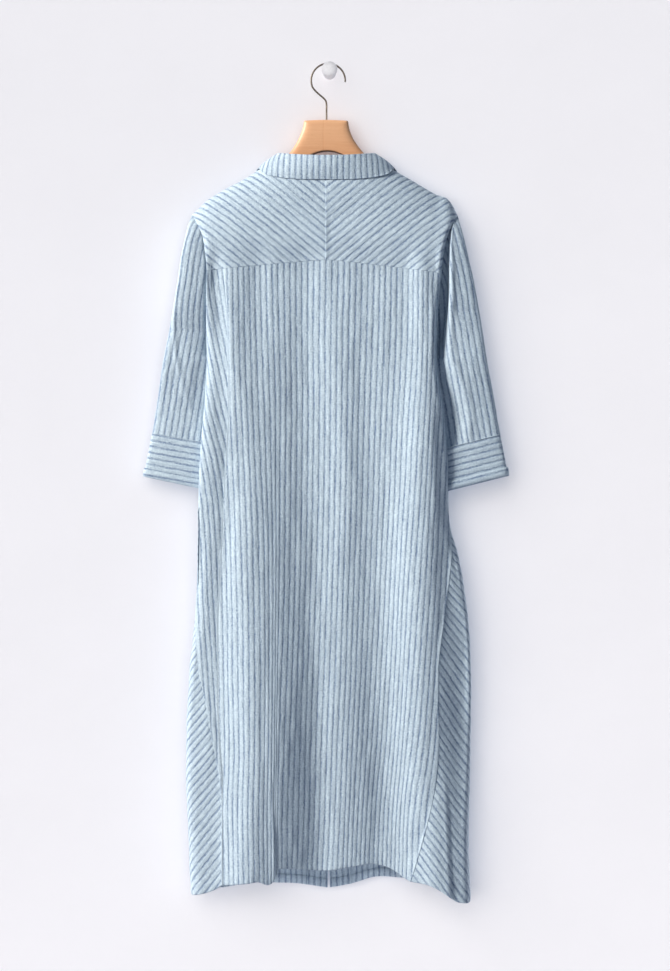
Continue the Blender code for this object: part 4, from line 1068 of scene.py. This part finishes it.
def leaf_point(angle):
    """The leaf's lower edge, lying just off the body."""
    swing = abs(angle)
    side = np.sign(angle) if angle else 1
    x = CENTRE + side * float(curve(LEAF_EDGE, "half", swing, key="angle"))
    top = float(ridge(x))
    drop = max(float(curve(LEAF_EDGE, "drop", swing, key="angle")), top)
    surface, fall, toward = (back_off, BACK_FALL, -1) if swing <= LEAF_CROSSES else (
        front_off, FRONT_FALL, 1)
    lean = np.arccos(1 - min((drop - top) / fall, 1.0))
    rise = np.array([0.0, toward * sin(lean), cos(lean)])
    return place(x, surface(x, drop), drop) + rise * LEAF_LIFT


def clear_of_body(point, toward):
    """Move a point of the leaf off the body's form where it would lie on it or inside it."""
    x, off, drop = point[0], -point[1], -point[2] + LEAF_LIFT
    if drop <= ridge(x):
        return point
    if toward < 0:
        off = max(off, float(back_off(x, drop)) + LEAF_LIFT * 0.9)
    else:
        off = min(off, float(front_layer(x - CENTRE)(x, drop)) - LEAF_LIFT * 0.9)
    return np.array([x, -off, point[2]])


around = 2 * shares(COLLAR_STATIONS) - 1
rise = shares(COLLAR_ROWS)
stand_columns, leaf_columns = [], []
for angle in STAND_END * around:
    seam, fold = neck_point(angle), fold_point(angle)
    first = seam + unit(fold - seam) * STAND_START
    stand_columns.append(np.stack([first + (fold - first) * t for t in rise]))
for angle in LEAF_END * around:
    fold, edge = fold_point(angle), leaf_point(angle)
    out = unit(fold - np.array([CENTRE, -HANG, fold[2]]))
    top = fold + out * LEAF_START + np.array([0.0, 0.0, LEAF_ABOVE])
    toward = -1 if abs(angle) <= LEAF_CROSSES else 1
    leaf_columns.append(np.stack([clear_of_body(top + (edge - top) * t
                                                + out * LEAF_BULGE * sin(pi * t), toward)
                                  for t in rise]))
for name, columns, flat in (("collar_stand", stand_columns, (0.4, 0.027)),
                            ("collar_leaf", leaf_columns, (0.5, 0.06))):
    points = np.stack(columns, axis=1)
    run, middle = run_along(points, axis=1), np.argmin(abs(around))
    cut = np.stack([run - run[:, middle:middle + 1], run_along(points)], axis=-1)
    outward = np.array([0.0, -1.0, 0.2])
    if name == "collar_leaf":
        topstitch(points, outward, "bottom", LEAF_INSET)
    cloth_piece(name, points, cut, outward)


# ================================================================ buttons and buttonholes
# Nine small sew-on buttons of shell, dished and with four holes, sewn to the left band. Each one
# passes through a worked buttonhole in the right band, which lies nearer the wall.
BUTTONS = 9
BUTTON_FIRST = 0.262            # drop of the first button
BUTTON_STEP = 0.094
BUTTON_THICK = 0.0024
BUTTON_HOLE = (0.00095, 0.00062)        # distance of a hole's middle from both axes, and its radius
BUTTON_GAP = 0.0006             # from the band to the button's back
BUTTON_SIDES = 48
HOLE_SIDES = 14
SHANK = 0.0011                  # radius of the thread shank behind the button
STRAND_ARCH = 0.0009            # rise of a strand of thread from one hole over to the next
STRAND_START = 0.0004           # depth in the hole at which it starts
STRAND_REACH = 1.15             # its reach, in distances of a hole from the axis
STRAND_APART = 0.24             # from the hole's middle to each of its two strands, in the same
# heights over the button's middle plane: a dish inside a rolled rim
BUTTON_PROFILE = rows_of("radius face back", [
    (0.0, 0.0002, -0.001), (0.0022, 0.0003, -0.001), (0.003, 0.0005, -0.001),
    (0.0037, 0.001, -0.0011), (0.0044, 0.0012, -0.0012), (0.005, 0.001, -0.001),
    (0.0054, 0.0005, -0.0006), (0.0055, 0.0001, -0.0001)])
SLOT_HALF = 0.0082              # half the length of a buttonhole
SLOT_WIDTH = 0.0009             # from its middle to the middle of its worked edge
SLOT_EDGE = 0.00045             # radius of that edge
SLOT_STITCHES = 64              # stitches round it
THREAD = 0.00032                # radius of the sewing thread


def inside(points, loops):
    """Tells which points lie inside an odd number of closed loops."""
    odd = np.zeros(len(points), bool)
    x, y = points[:, :1], points[:, 1:]
    for loop in loops:
        after = np.roll(loop, -1, axis=0)
        crosses = (loop[:, 1] > y) != (after[:, 1] > y)
        rise = np.where(loop[:, 1] == after[:, 1], 1, after[:, 1] - loop[:, 1])
        at = loop[:, 0] + (y - loop[:, 1]) * (after[:, 0] - loop[:, 0]) / rise
        odd ^= np.sum(crosses & (x < at), axis=1) % 2 == 1
    return odd


def finished_mesh(name, bm, *finishes):
    """A smooth mesh of a closed body, with its finishes."""
    bmesh.ops.recalc_face_normals(bm, faces=bm.faces)
    mesh = bpy.data.meshes.new(name)
    bm.to_mesh(mesh)
    mesh.shade_smooth()
    for finish in finishes:
        mesh.materials.append(finish)
    return mesh


def join_rings(bm, one, other):
    """Faces from one ring of points to the next."""
    after = [(k + 1) % len(one) for k in range(len(one))]
    return [bm.faces.new([one[k], one[j], other[j], other[k]]) for k, j in enumerate(after)]


def plate(name, loops, inner, near, far, *finishes):
    """A closed body over flat loops of x and drop, between its near and its far distance."""
    edges, start = [], 0
    for loop in loops:
        edges += [(start + i, start + (i + 1) % len(loop)) for i in range(len(loop))]
        start += len(loop)
    flat = np.concatenate([*loops, inner])
    found = delaunay_2d_cdt([Vector(point) for point in flat], edges, [], 0, 1e-7)
    flat, faces = np.array([tuple(point) for point in found[0]]), np.array(found[2])
    faces = faces[inside(flat[faces].mean(axis=1), loops)]
    sides = np.concatenate([faces[:, [0, 1]], faces[:, [1, 2]], faces[:, [2, 0]]])
    _, first, times = np.unique(np.sort(sides, axis=1), axis=0, return_index=True,
                                return_counts=True)
    rim, total = sides[first[times == 1]], len(flat)
    walls = np.stack([rim[:, 1], rim[:, 0], rim[:, 0] + total, rim[:, 1] + total], axis=1)
    verts = np.concatenate([place(flat[:, 0], near(flat), flat[:, 1]),
                            place(flat[:, 0], far(flat), flat[:, 1])])
    bm = bmesh.new()
    corners = [bm.verts.new(vert) for vert in verts]
    for face in [*faces, *(faces[:, ::-1] + total), *walls]:
        bm.faces.new([corners[i] for i in face])
    loose = [vert for vert in bm.verts if not vert.link_faces]
    bmesh.ops.delete(bm, geom=loose, context="VERTS")
    return finished_mesh(name, bm, *finishes)


def turns(number):
    """Even angles round a circle."""
    return 2 * pi * np.arange(number) / number


def circle(radius, number, middle=(0.0, 0.0)):
    turn = turns(number)
    return np.stack([middle[0] + radius * np.cos(turn), middle[1] + radius * np.sin(turn)], axis=1)


def tubes(bm, lines, radius, sides=6, closed=False, finish=0):
    """Thin tubes of thread along lines of points."""
    for line in lines:
        ahead = np.roll(line, -1, axis=0) - np.roll(line, 1, axis=0)
        if not closed:
            ahead[0], ahead[-1] = line[1] - line[0], line[-1] - line[-2]
        ahead = unit(ahead)
        across = unit(np.cross(ahead, TO_ROOM))
        rise = np.cross(across, ahead)
        turn = turns(sides)
        rings = (line[:, None] + radius * (np.cos(turn)[None, :, None] * across[:, None]
                                           + np.sin(turn)[None, :, None] * rise[:, None]))
        verts = [[bm.verts.new(point) for point in ring] for ring in rings]
        joins = list(zip(verts, verts[1:])) + ([(verts[-1], verts[0])] if closed else [])
        for one, other in joins:
            for face in join_rings(bm, one, other):
                face.material_index, face.smooth = finish, True
        if not closed:
            for ring in (verts[0], verts[-1][::-1]):
                bm.faces.new(ring).material_index = finish


shell, tree = new_finish("shell_button")
solid = own_space(tree)
layers = stepped(tree, grain(tree, solid, (0.0016, 0.004, 0.003), 3.0, 0.6), 0.35, 0.68)
join_finish(tree, mix(tree, layers, shade(226, 224, 216), shade(188, 194, 200)),
            weighted(tree, (layers, 0.14), plus=0.22), layers, 0.3, 0.0002, {"Coat Weight": 0.4})

thread, tree = new_finish("sewing_thread")
solid = own_space(tree)
plies = grain(tree, solid, (0.0005, 0.0005, 0.0005), 2.0, 0.6)
join_finish(tree, mix(tree, plies, shade(214, 226, 234), shade(160, 176, 194)),
            weighted(tree, (plies, 0.2), plus=0.55), plies, 0.6, 0.0002)

outer = front_layer(1)
hole_places = [(BUTTON_HOLE[0] * a, BUTTON_HOLE[0] * b) for a in (-1, 1) for b in (-1, 1)]
edge_bm = bmesh.new()
for number in range(BUTTONS):
    drop = BUTTON_FIRST + BUTTON_STEP * number
    middle = np.array([CENTRE, drop])
    off = float(outer(CENTRE, drop)) - CLOTH / 2 - BUTTON_GAP - BUTTON_THICK / 2
    loops = ([circle(BUTTON_PROFILE[-1].radius, BUTTON_SIDES)]
             + [circle(BUTTON_HOLE[1], HOLE_SIDES, spot) for spot in hole_places])
    inner = np.concatenate([circle(row.radius, BUTTON_SIDES) for row in BUTTON_PROFILE[2:-1]]
                           + [circle(0.0002, 6)])

    def button_off(flat, name):
        return off - curve(BUTTON_PROFILE, name, np.linalg.norm(flat - middle, axis=1), key="radius")

    mesh = plate(f"button_{number + 1}_shell", [loop + middle for loop in loops], inner + middle,
                 lambda flat: button_off(flat, "back"), lambda flat: button_off(flat, "face"),
                 shell, thread)
    bm = bmesh.new()
    bm.from_mesh(mesh)
    span = np.linspace(-1, 1, 9)
    arch = np.sqrt(np.clip(1 - span ** 2, 0, 1))
    strands = [place(CENTRE + BUTTON_HOLE[0] * (a + b), off - STRAND_ARCH * arch + STRAND_START,
                     drop + BUTTON_HOLE[0] * STRAND_REACH * span)
               for a in (-1, 1) for b in (-STRAND_APART, STRAND_APART)]
    tubes(bm, strands, THREAD * 0.8, finish=1)
    shank = np.linspace(0, 1, 4)
    tubes(bm, [place(CENTRE, off + 0.0008 + (BUTTON_GAP + 0.001) * shank, drop + 0.0001 * shank)],
          SHANK, sides=10, finish=1)
    bm.to_mesh(mesh)
    add_piece(f"button_{number + 1}_shell", mesh, f"button_{number + 1}")

    # the worked edge of the buttonhole: close stitches round a slot that runs up and down
    turn = turns(SLOT_STITCHES)
    x = CENTRE + SLOT_WIDTH * np.cos(turn) * (1 + 0.25 * abs(np.sin(turn)))
    low = drop + SLOT_HALF * np.clip(np.sin(turn) * 1.25, -1, 1) + 0.0005 * np.sin(turn)
    knots = 0.00008 * np.cos(np.arange(SLOT_STITCHES) * pi)
    tubes(edge_bm, [place(x, outer(x, low) - CLOTH / 2 - 0.0001 - knots, low)], SLOT_EDGE,
          closed=True)
add_piece("buttonholes", finished_mesh("buttonholes", edge_bm, thread))


# ================================================================ topstitching
# One line of sewing thread holds down every seam that laps over its allowance, both layers of the
# collar, the bands, the cuffs and the turned-up hems.
STITCH_STEP = 0.0031            # from one stitch to the next
STITCH = 0.0023                 # length of a stitch
STITCH_WIDTH = 0.0003           # half its width
STITCH_FULL = (0.22, 0.78)      # shares of its length between which it has its full width
STITCH_DIP = 0.8                # its ends sink by this share of STITCH_WIDTH
bm = bmesh.new()
for line, lift in stitch_lines:
    run = run_along(line)
    at = np.arange(STITCH_STEP, run[-1] - STITCH_STEP, STITCH_STEP)
    ends = [read_along(line, run, at + side * STITCH / 2) for side in (-1, 1)]
    up = unit(read_along(lift, run, at))
    for start, end, rise in zip(*ends, up):
        ahead = end - start
        across = np.cross(ahead, rise) / STITCH * STITCH_WIDTH
        rise = rise * STITCH_WIDTH
        rings = [[bm.verts.new(start + ahead * t + step)
                  for step in (across, rise, -across, -rise)] for t in STITCH_FULL]
        join_rings(bm, *rings)
        for tip, ring in ((start, rings[0][::-1]), (end, rings[1])):
            tip = bm.verts.new(tip - rise * STITCH_DIP)
            for k in range(4):
                bm.faces.new([tip, ring[k - 1], ring[k]])
add_piece("topstitching", finished_mesh("topstitching", bm, thread))


# ================================================================ hanger
# A hanger sawn from pale beech, its neck block rounded over at the sides and eased along the top,
# and lacquered. A bent wire hook is screwed into the neck.
WOOD_THICK = 0.012
WOOD_EDGE = 0.0046              # how far the rounded edges fall away from each face
WOOD_CLEAR = 0.003              # from the cloth's ridge down to the arms' upper edge
WOOD_LOW = 0.03                 # and to their lower edge
ARM_TAPER = 0.1                 # the arms narrow by this share of the way out to their tips
TAPER_FROM = 0.1                # x, to both sides, from which they do
ARM_EASE = (0.006, 0.005)       # widths of the rounding along their upper and lower edges
ARM_DIP = 0.0045                # the arms dip this far under the neck seam
DIP_SPAN = (0.085, 0.125)       # distance from the middle over which the dip fades out
ARM_LEFT = (-0.187, -0.09)      # x of the tip and of the neck block's foot
ARM_RIGHT = (0.081, 0.178)
ARM_CORNERS = 14                # points along each arm's edge
NECK_TOP = rows_of("x drop ease", [
    (-0.0745, 0.1408, 0.009), (-0.0605, 0.127, 0.011), (-0.05, 0.1105, 0.012),
    (-0.0424, 0.093, 0.012), (-0.04, 0.0822, 0.011), (-0.0398, 0.0797, 0.01),
    (-0.0386, 0.0786, 0.008), (-0.035, 0.0782, 0.007), (-0.024, 0.0776, 0.007),
    (-0.009, 0.0772, 0.007), (0.01, 0.0776, 0.007), (0.024, 0.0782, 0.007), (0.028, 0.0788, 0.008),
    (0.0295, 0.0802, 0.01), (0.0298, 0.083, 0.012), (0.0316, 0.093, 0.013), (0.0363, 0.105, 0.013),
    (0.0436, 0.1168, 0.012), (0.0529, 0.1282, 0.01), (0.066, 0.141, 0.008)])
NECK_ARCH = rows_of("x drop ease", [
    (0.05, 0.152, 0.004), (0.034, 0.14, 0.003), (0.0195, 0.1322, 0.003), (0.008, 0.128, 0.003),
    (-0.0038, 0.1268, 0.003), (-0.015, 0.1283, 0.003), (-0.0256, 0.1322, 0.003),
    (-0.042, 0.14, 0.003), (-0.06, 0.154, 0.004)])
OUTLINE_STEP = 0.0016
WOOD_OFFSETS = (0.0005, 0.0013, 0.0026, 0.0044, 0.0066, 0.0095, 0.013)     # rings inside it
WOOD_GRID = 0.0045              # step of the points that fill the rest


def arm_top(x):
    dip = ARM_DIP * ramp(-abs(x - CENTRE), -DIP_SPAN[1], -DIP_SPAN[0])
    return x, float(ridge(x)) + WOOD_CLEAR + dip, ARM_EASE[0]


def arm_low(x):
    taper = ARM_TAPER * max(abs(x) - TAPER_FROM, 0)
    return x, float(ridge(x)) + WOOD_LOW - taper, ARM_EASE[1]


def through(points, step, closed=False):
    """A smooth line through the points, with points about a step apart."""
    points = np.array(points, float)
    if closed:
        around = np.concatenate([points[-1:], points, points[:2]])
    else:
        around = np.concatenate([2 * points[:1] - points[1:2], points,
                                 2 * points[-1:] - points[-2:-1]])
    line = []
    for before, start, end, after in zip(around, around[1:], around[2:], around[3:]):
        parts = max(int(np.linalg.norm((end - start)[:2]) / step), 1)
        t = (np.arange(parts) / parts)[:, None]
        line.append(((-before + 3 * start - 3 * end + after) * t ** 3
                     + (2 * before - 5 * start + 4 * end - after) * t ** 2
                     + (end - before) * t) / 2 + start)
    return np.concatenate(line + ([] if closed else [points[-1:]]))


steps_left, steps_right = (np.linspace(*span, ARM_CORNERS) for span in (ARM_LEFT, ARM_RIGHT))
corners = ([arm_top(x) for x in steps_left] + NECK_TOP + [arm_top(x) for x in steps_right]
           + [arm_low(x) for x in steps_right[::-1]] + NECK_ARCH
           + [arm_low(x) for x in steps_left[::-1]])
outline = through(corners, OUTLINE_STEP, closed=True)
outline, ease = outline[:, :2], outline[:, 2]


def edge_distance(points, widths=None):
    """Distance of points from the hanger's outline, or its least share of the rounding there."""
    start, span = outline, np.roll(outline, -1, axis=0) - outline
    size = np.maximum(np.sum(span * span, axis=1), 1e-12)
    gap = points[:, None] - start
    t = np.clip(np.sum(gap * span, axis=2) / size, 0, 1)
    far = np.linalg.norm(gap - t[..., None] * span, axis=2)
    return (far if widths is None else far / widths).min(axis=1)


tangent = np.roll(outline, -1, axis=0) - np.roll(outline, 1, axis=0)
inward = unit(np.stack([-tangent[:, 1], tangent[:, 0]], axis=1))
if not inside(outline[:1] + inward[:1] * 0.001, [outline])[0]:
    inward = -inward
inner = []
for offset in WOOD_OFFSETS:
    ring = (outline + inward * offset)[::1 if offset < 0.003 else 2]
    inner.append(ring[inside(ring, [outline]) & (edge_distance(ring) > offset * 0.93)])
xs, drops = np.meshgrid(np.arange(-0.2, 0.2, WOOD_GRID), np.arange(0.07, 0.25, WOOD_GRID))
field = np.stack([xs.ravel(), drops.ravel()], axis=1)
inner.append(field[inside(field, [outline]) & (edge_distance(field) > WOOD_OFFSETS[-1])])


def wood_half(flat):
    return WOOD_THICK / 2 - WOOD_EDGE * (1 - quarter(edge_distance(flat, ease)))


mesh = plate("hanger_wood_shaped", [outline], np.concatenate(inner),
             lambda flat: HANG + wood_half(flat), lambda flat: HANG - wood_half(flat))
add_piece("hanger_wood_shaped", mesh, "hanger_wood")

wood, tree = new_finish("lacquered_beech")
solid = own_space(tree)
rings = grain(tree, solid, (0.09, 0.01, 0.0042), 3.0, 0.55)
fibres = grain(tree, solid, (0.03, 0.003, 0.0007), 3.0, 0.6)
flecks = stepped(tree, grain(tree, solid, (0.006, 0.0016, 0.0006), 2.0, 0.6), 0.6, 0.74)
apart = add_node(tree, "ShaderNodeSeparateXYZ", {"Vector": solid})
from_joint = count(tree, "ABSOLUTE", count(tree, "SUBTRACT", apart.outputs["X"], -0.0095))
joint = stepped(tree, from_joint, 0.0009, 0.0002)
low = stepped(tree, apart.outputs["Z"], -0.085, -0.15)
tone = weighted(tree, (rings, 0.3), (fibres, 0.3), (low, 0.28), (joint, 0.16))
timber = mix(tree, stepped(tree, tone, 0.12, 0.8), shade(229, 177, 136), shade(208, 146, 103))
timber = mix(tree, count(tree, "MULTIPLY", flecks, 0.22), timber, shade(150, 98, 62))
# painted shade: the wood's underside, where shade falls, is given a darker brown by the direction it
# faces
facing = add_node(tree, "ShaderNodeSeparateXYZ", {
    "Vector": add_node(tree, "ShaderNodeNewGeometry").outputs["Normal"]}).outputs["Z"]
painted_underside_shade = stepped(tree, facing, -0.35, -0.85)      # painted shade: faces turned downwards are coloured dark brown
join_finish(tree, mix(tree, painted_underside_shade, timber, shade(112, 72, 48)),
            weighted(tree, (fibres, 0.15), plus=0.34),
            count(tree, "SUBTRACT", fibres, count(tree, "MULTIPLY", joint, 0.8)),
            0.5, 0.00022, {"Coat Weight": 0.12, "Coat Roughness": 0.45})
mesh.materials.append(wood)

WIRE = 0.0014                   # radius
HOOK_MIDDLE = (-0.002, 0.0159)          # x and drop of the hook's round part
HOOK_RADIUS = 0.0265
HOOK_FOOT = [(-0.0045, 0.083), (-0.0046, 0.064), (-0.0047, 0.053), (-0.0058, 0.0478),
             (-0.0095, 0.0432), (-0.0165, 0.0372), (-0.0222, 0.0318)]
HOOK_TURN = (204, -7, 6)        # angles round the hook, from its neck to its tip, and their step
route = HOOK_FOOT + [(HOOK_MIDDLE[0] + HOOK_RADIUS * cos(radians(a)),
                      HOOK_MIDDLE[1] - HOOK_RADIUS * sin(radians(a)))
                     for a in range(HOOK_TURN[0], HOOK_TURN[1], -HOOK_TURN[2])]
route = through(route, 0.0012)
line = bpy.data.curves.new("hanger_hook_wire", "CURVE")
line.dimensions = "3D"
line.bevel_depth = 1.0          # the points carry the radius
line.bevel_resolution = 5
line.use_fill_caps = True
spline = line.splines.new("POLY")
spline.points.add(len(route) - 1)
for number, (point, (x, drop)) in enumerate(zip(spline.points, route)):
    point.co = (x, -HANG, -drop, 1)
    to_tip = min((len(route) - 1 - number) / 2.0, 1.0)
    point.radius = WIRE * (0.35 + 0.65 * (1 - (1 - to_tip) ** 2) ** 0.5)
spline.use_smooth = True
hook = add_piece("hanger_hook_wire", line, "hanger_hook")
hook.visible_shadow = False     # in the wide, soft light nothing so thin leaves a shadow

wire, tree = new_finish("drawn_steel_wire")
solid = own_space(tree)
wear = stepped(tree, grain(tree, solid, (0.003, 0.003, 0.006), 3.0, 0.6), 0.35, 0.7)
drawn = grain(tree, solid, (0.0006, 0.0006, 0.0006), 2.0, 0.6)
join_finish(tree, mix(tree, wear, shade(126, 115, 105), shade(92, 81, 73)),
            weighted(tree, (wear, 0.14), plus=0.4), drawn, 0.3, 0.00012, {"Metallic": 0.7})
line.materials.append(wire)


# ================================================================ wall knob
# A turned knob with a waisted stem, sprayed matt white and screwed to the wall. The hook hangs on
# its stem, behind the head.
KNOB = rows_of("radius off", [
    (0.0, 0.0), (0.0096, 0.0), (0.01, 0.0006), (0.0099, 0.003), (0.0092, 0.0052), (0.0087, 0.01),
    (0.0087, 0.023), (0.0087, 0.0345), (0.0092, 0.0362), (0.0108, 0.0384), (0.012, 0.041),
    (0.0122, 0.0438), (0.0113, 0.0464), (0.0094, 0.0485), (0.0062, 0.0499), (0.003, 0.0504),
    (0.0, 0.0505)])
KNOB_SIDES = 72
rows = through(KNOB, 0.0009)
bm = bmesh.new()
rings = [[bm.verts.new((max(radius, 0) * cos(a), -off, max(radius, 0) * sin(a)))
          for a in turns(KNOB_SIDES)] for radius, off in rows]
for one, other in zip(rings, rings[1:]):
    join_rings(bm, one, other)
bmesh.ops.remove_doubles(bm, verts=bm.verts, dist=0.00002)
lacquer, tree = new_finish("white_knob_lacquer")
solid = own_space(tree)
orange_peel = grain(tree, solid, (0.0011, 0.0011, 0.0011), 2.0, 0.5)
rubbed = stepped(tree, grain(tree, solid, (0.005, 0.005, 0.005), 3.0, 0.6), 0.45, 0.7)
join_finish(tree, mix(tree, rubbed, shade(232, 231, 235), shade(220, 219, 222)),
            weighted(tree, (rubbed, 0.12), plus=0.38), orange_peel, 0.25, 0.0002)
mesh = finished_mesh("wall_knob_turned", bm, lacquer)
knob = add_piece("wall_knob_turned", mesh, "wall_knob")
knob.visible_shadow = False


# ================================================================ wall, floor, light and camera
# The wall is plastered and painted matt white, and the pale floor lies well below the hem. Light
# falls from a window at the upper left, and a pale sky fills the shadows.
WALL_FACE = 0.001               # y of the plaster, just behind the knob's flat back
WALL_HALF = 4.0
WALL_TOP = 2.2
FLOOR = -1.62
FLOOR_HALF = 6.0


def stage_plane(name, corners, finish):
    mesh = bpy.data.meshes.new(name)
    mesh.from_pydata(corners, [], [(0, 1, 2, 3)])
    mesh.materials.append(finish)
    made = bpy.data.objects.new(name, mesh)
    bpy.context.collection.objects.link(made)
    return made


plaster, tree = new_finish("plaster_wall")
at = own_space(tree)
cloudy = stepped(tree, grain(tree, at, (0.42, 0.42, 0.3), 4.0, 0.6), 0.3, 0.7)
trowelled = grain(tree, at, (0.06, 0.06, 0.03), 3.0, 0.6)
sandy = grain(tree, at, (0.003, 0.003, 0.003), 3.0, 0.65)
tint = weighted(tree, (cloudy, 0.55), (sandy, 0.45))
shader = join_finish(tree, mix(tree, tint, shade(245, 244, 249), shade(241, 240, 245)),
                     weighted(tree, (cloudy, 0.08), plus=0.84),
                     weighted(tree, (trowelled, 0.9), (sandy, 0.35)),
                     0.35, 0.0006, {"Specular IOR Level": 0.1})
behind = add_node(tree, "ShaderNodeNewGeometry").outputs["Backfacing"]
clear = add_node(tree, "ShaderNodeBsdfTransparent")
split = add_node(tree, "ShaderNodeMixShader", {0: behind, 1: shader.outputs[0],
                                               2: clear.outputs[0]})
tree.links.new(split.outputs[0], tree.nodes["Material Output"].inputs["Surface"])
wall = stage_plane("wall", [(x, WALL_FACE, z) for x, z in (
    (-WALL_HALF, FLOOR), (WALL_HALF, FLOOR), (WALL_HALF, WALL_TOP), (-WALL_HALF, WALL_TOP))],
    plaster)
wall.visible_shadow = False     # the light from behind comes through it

boards, tree = new_finish("pale_floor")
at = own_space(tree)
cloudy = stepped(tree, grain(tree, at, (0.16, 0.16, 0.16), 5.0, 0.65), 0.25, 0.75)
pores = stepped(tree, grain(tree, at, (0.006, 0.006, 0.006), 3.0, 0.6), 0.55, 0.75)
tint = weighted(tree, (cloudy, 0.75), (pores, 0.25))
join_finish(tree, mix(tree, tint, shade(237, 236, 239), shade(233, 232, 235)),
            weighted(tree, (cloudy, 0.15), plus=0.6), pores, 0.3, -0.0006)
floor = stage_plane("floor", [(x * FLOOR_HALF, y * FLOOR_HALF, FLOOR)
                              for x, y in ((-1, -1), (1, -1), (1, 1), (-1, 1))], boards)
floor.visible_shadow = False    # and the wall's light comes up through the floor


def add_light(name, kind, receivers, **settings):
    """A light that shines on the objects of one collection only."""
    data = bpy.data.lights.new(name, kind)
    made = bpy.data.objects.new(name, data)
    location = settings.pop("location", (0, 0, 0))
    target = settings.pop("target")
    for key, value in settings.items():
        setattr(data, key, value)
    made.location = location
    made.rotation_euler = (Vector(target) - Vector(location)).to_track_quat("-Z", "Y").to_euler()
    made.light_linking.receiver_collection = receivers
    bpy.context.collection.objects.link(made)


hung = bpy.data.collections.new("hung object")
backdrop = bpy.data.collections.new("backdrop")
fronts = bpy.data.collections.new("fronts")
for thing in bpy.context.scene.objects:
    if thing.type in ("MESH", "CURVE"):
        (backdrop if thing in (wall, floor, knob) else hung).objects.link(thing)
    if thing.name.startswith(("front_", "placket_")):
        fronts.objects.link(thing)
add_light("key", "AREA", hung, location=(-3.9, -2.33, 1.43), target=(0, 0, -0.75), shape="DISK",
          size=1.8, energy=416, color=(1.0, 0.97, 0.895))
add_light("light on the wall", "SUN", backdrop, target=(0.55, 0.78, -0.3), energy=1.28,
          angle=radians(70), color=(1.0, 0.962, 0.905))
add_light("even light on the wall", "SUN", backdrop, target=(0.12, 1.0, -0.1), energy=1.46,
          angle=radians(60), color=(1.0, 0.962, 0.905))
add_light("light from behind", "SUN", hung, target=(-0.3, -0.9, -0.3), energy=1.5,
          angle=radians(60), color=(0.9, 0.95, 1.0))
add_light("light through the back", "SUN", fronts, target=(0, 1, 0), energy=1.0,
          angle=radians(60), color=(0.93, 0.96, 1.0), use_shadow=False)
world = bpy.data.worlds.new("studio")
world.use_nodes = True
sky = world.node_tree.nodes["Background"].inputs
sky["Color"].default_value = (0.47, 0.69, 1.0, 1)
sky["Strength"].default_value = 0.162
bpy.context.scene.world = world
bpy.context.scene.view_settings.view_transform = "Standard"

lens = bpy.data.cameras.new("camera")
lens.lens = 100
lens.sensor_width = 36
camera = bpy.data.objects.new("camera", lens)
camera.location = (0.0086, -4.23, -0.6462)
camera.rotation_euler = (radians(90), 0, 0)
bpy.context.collection.objects.link(camera)
bpy.context.scene.camera = camera
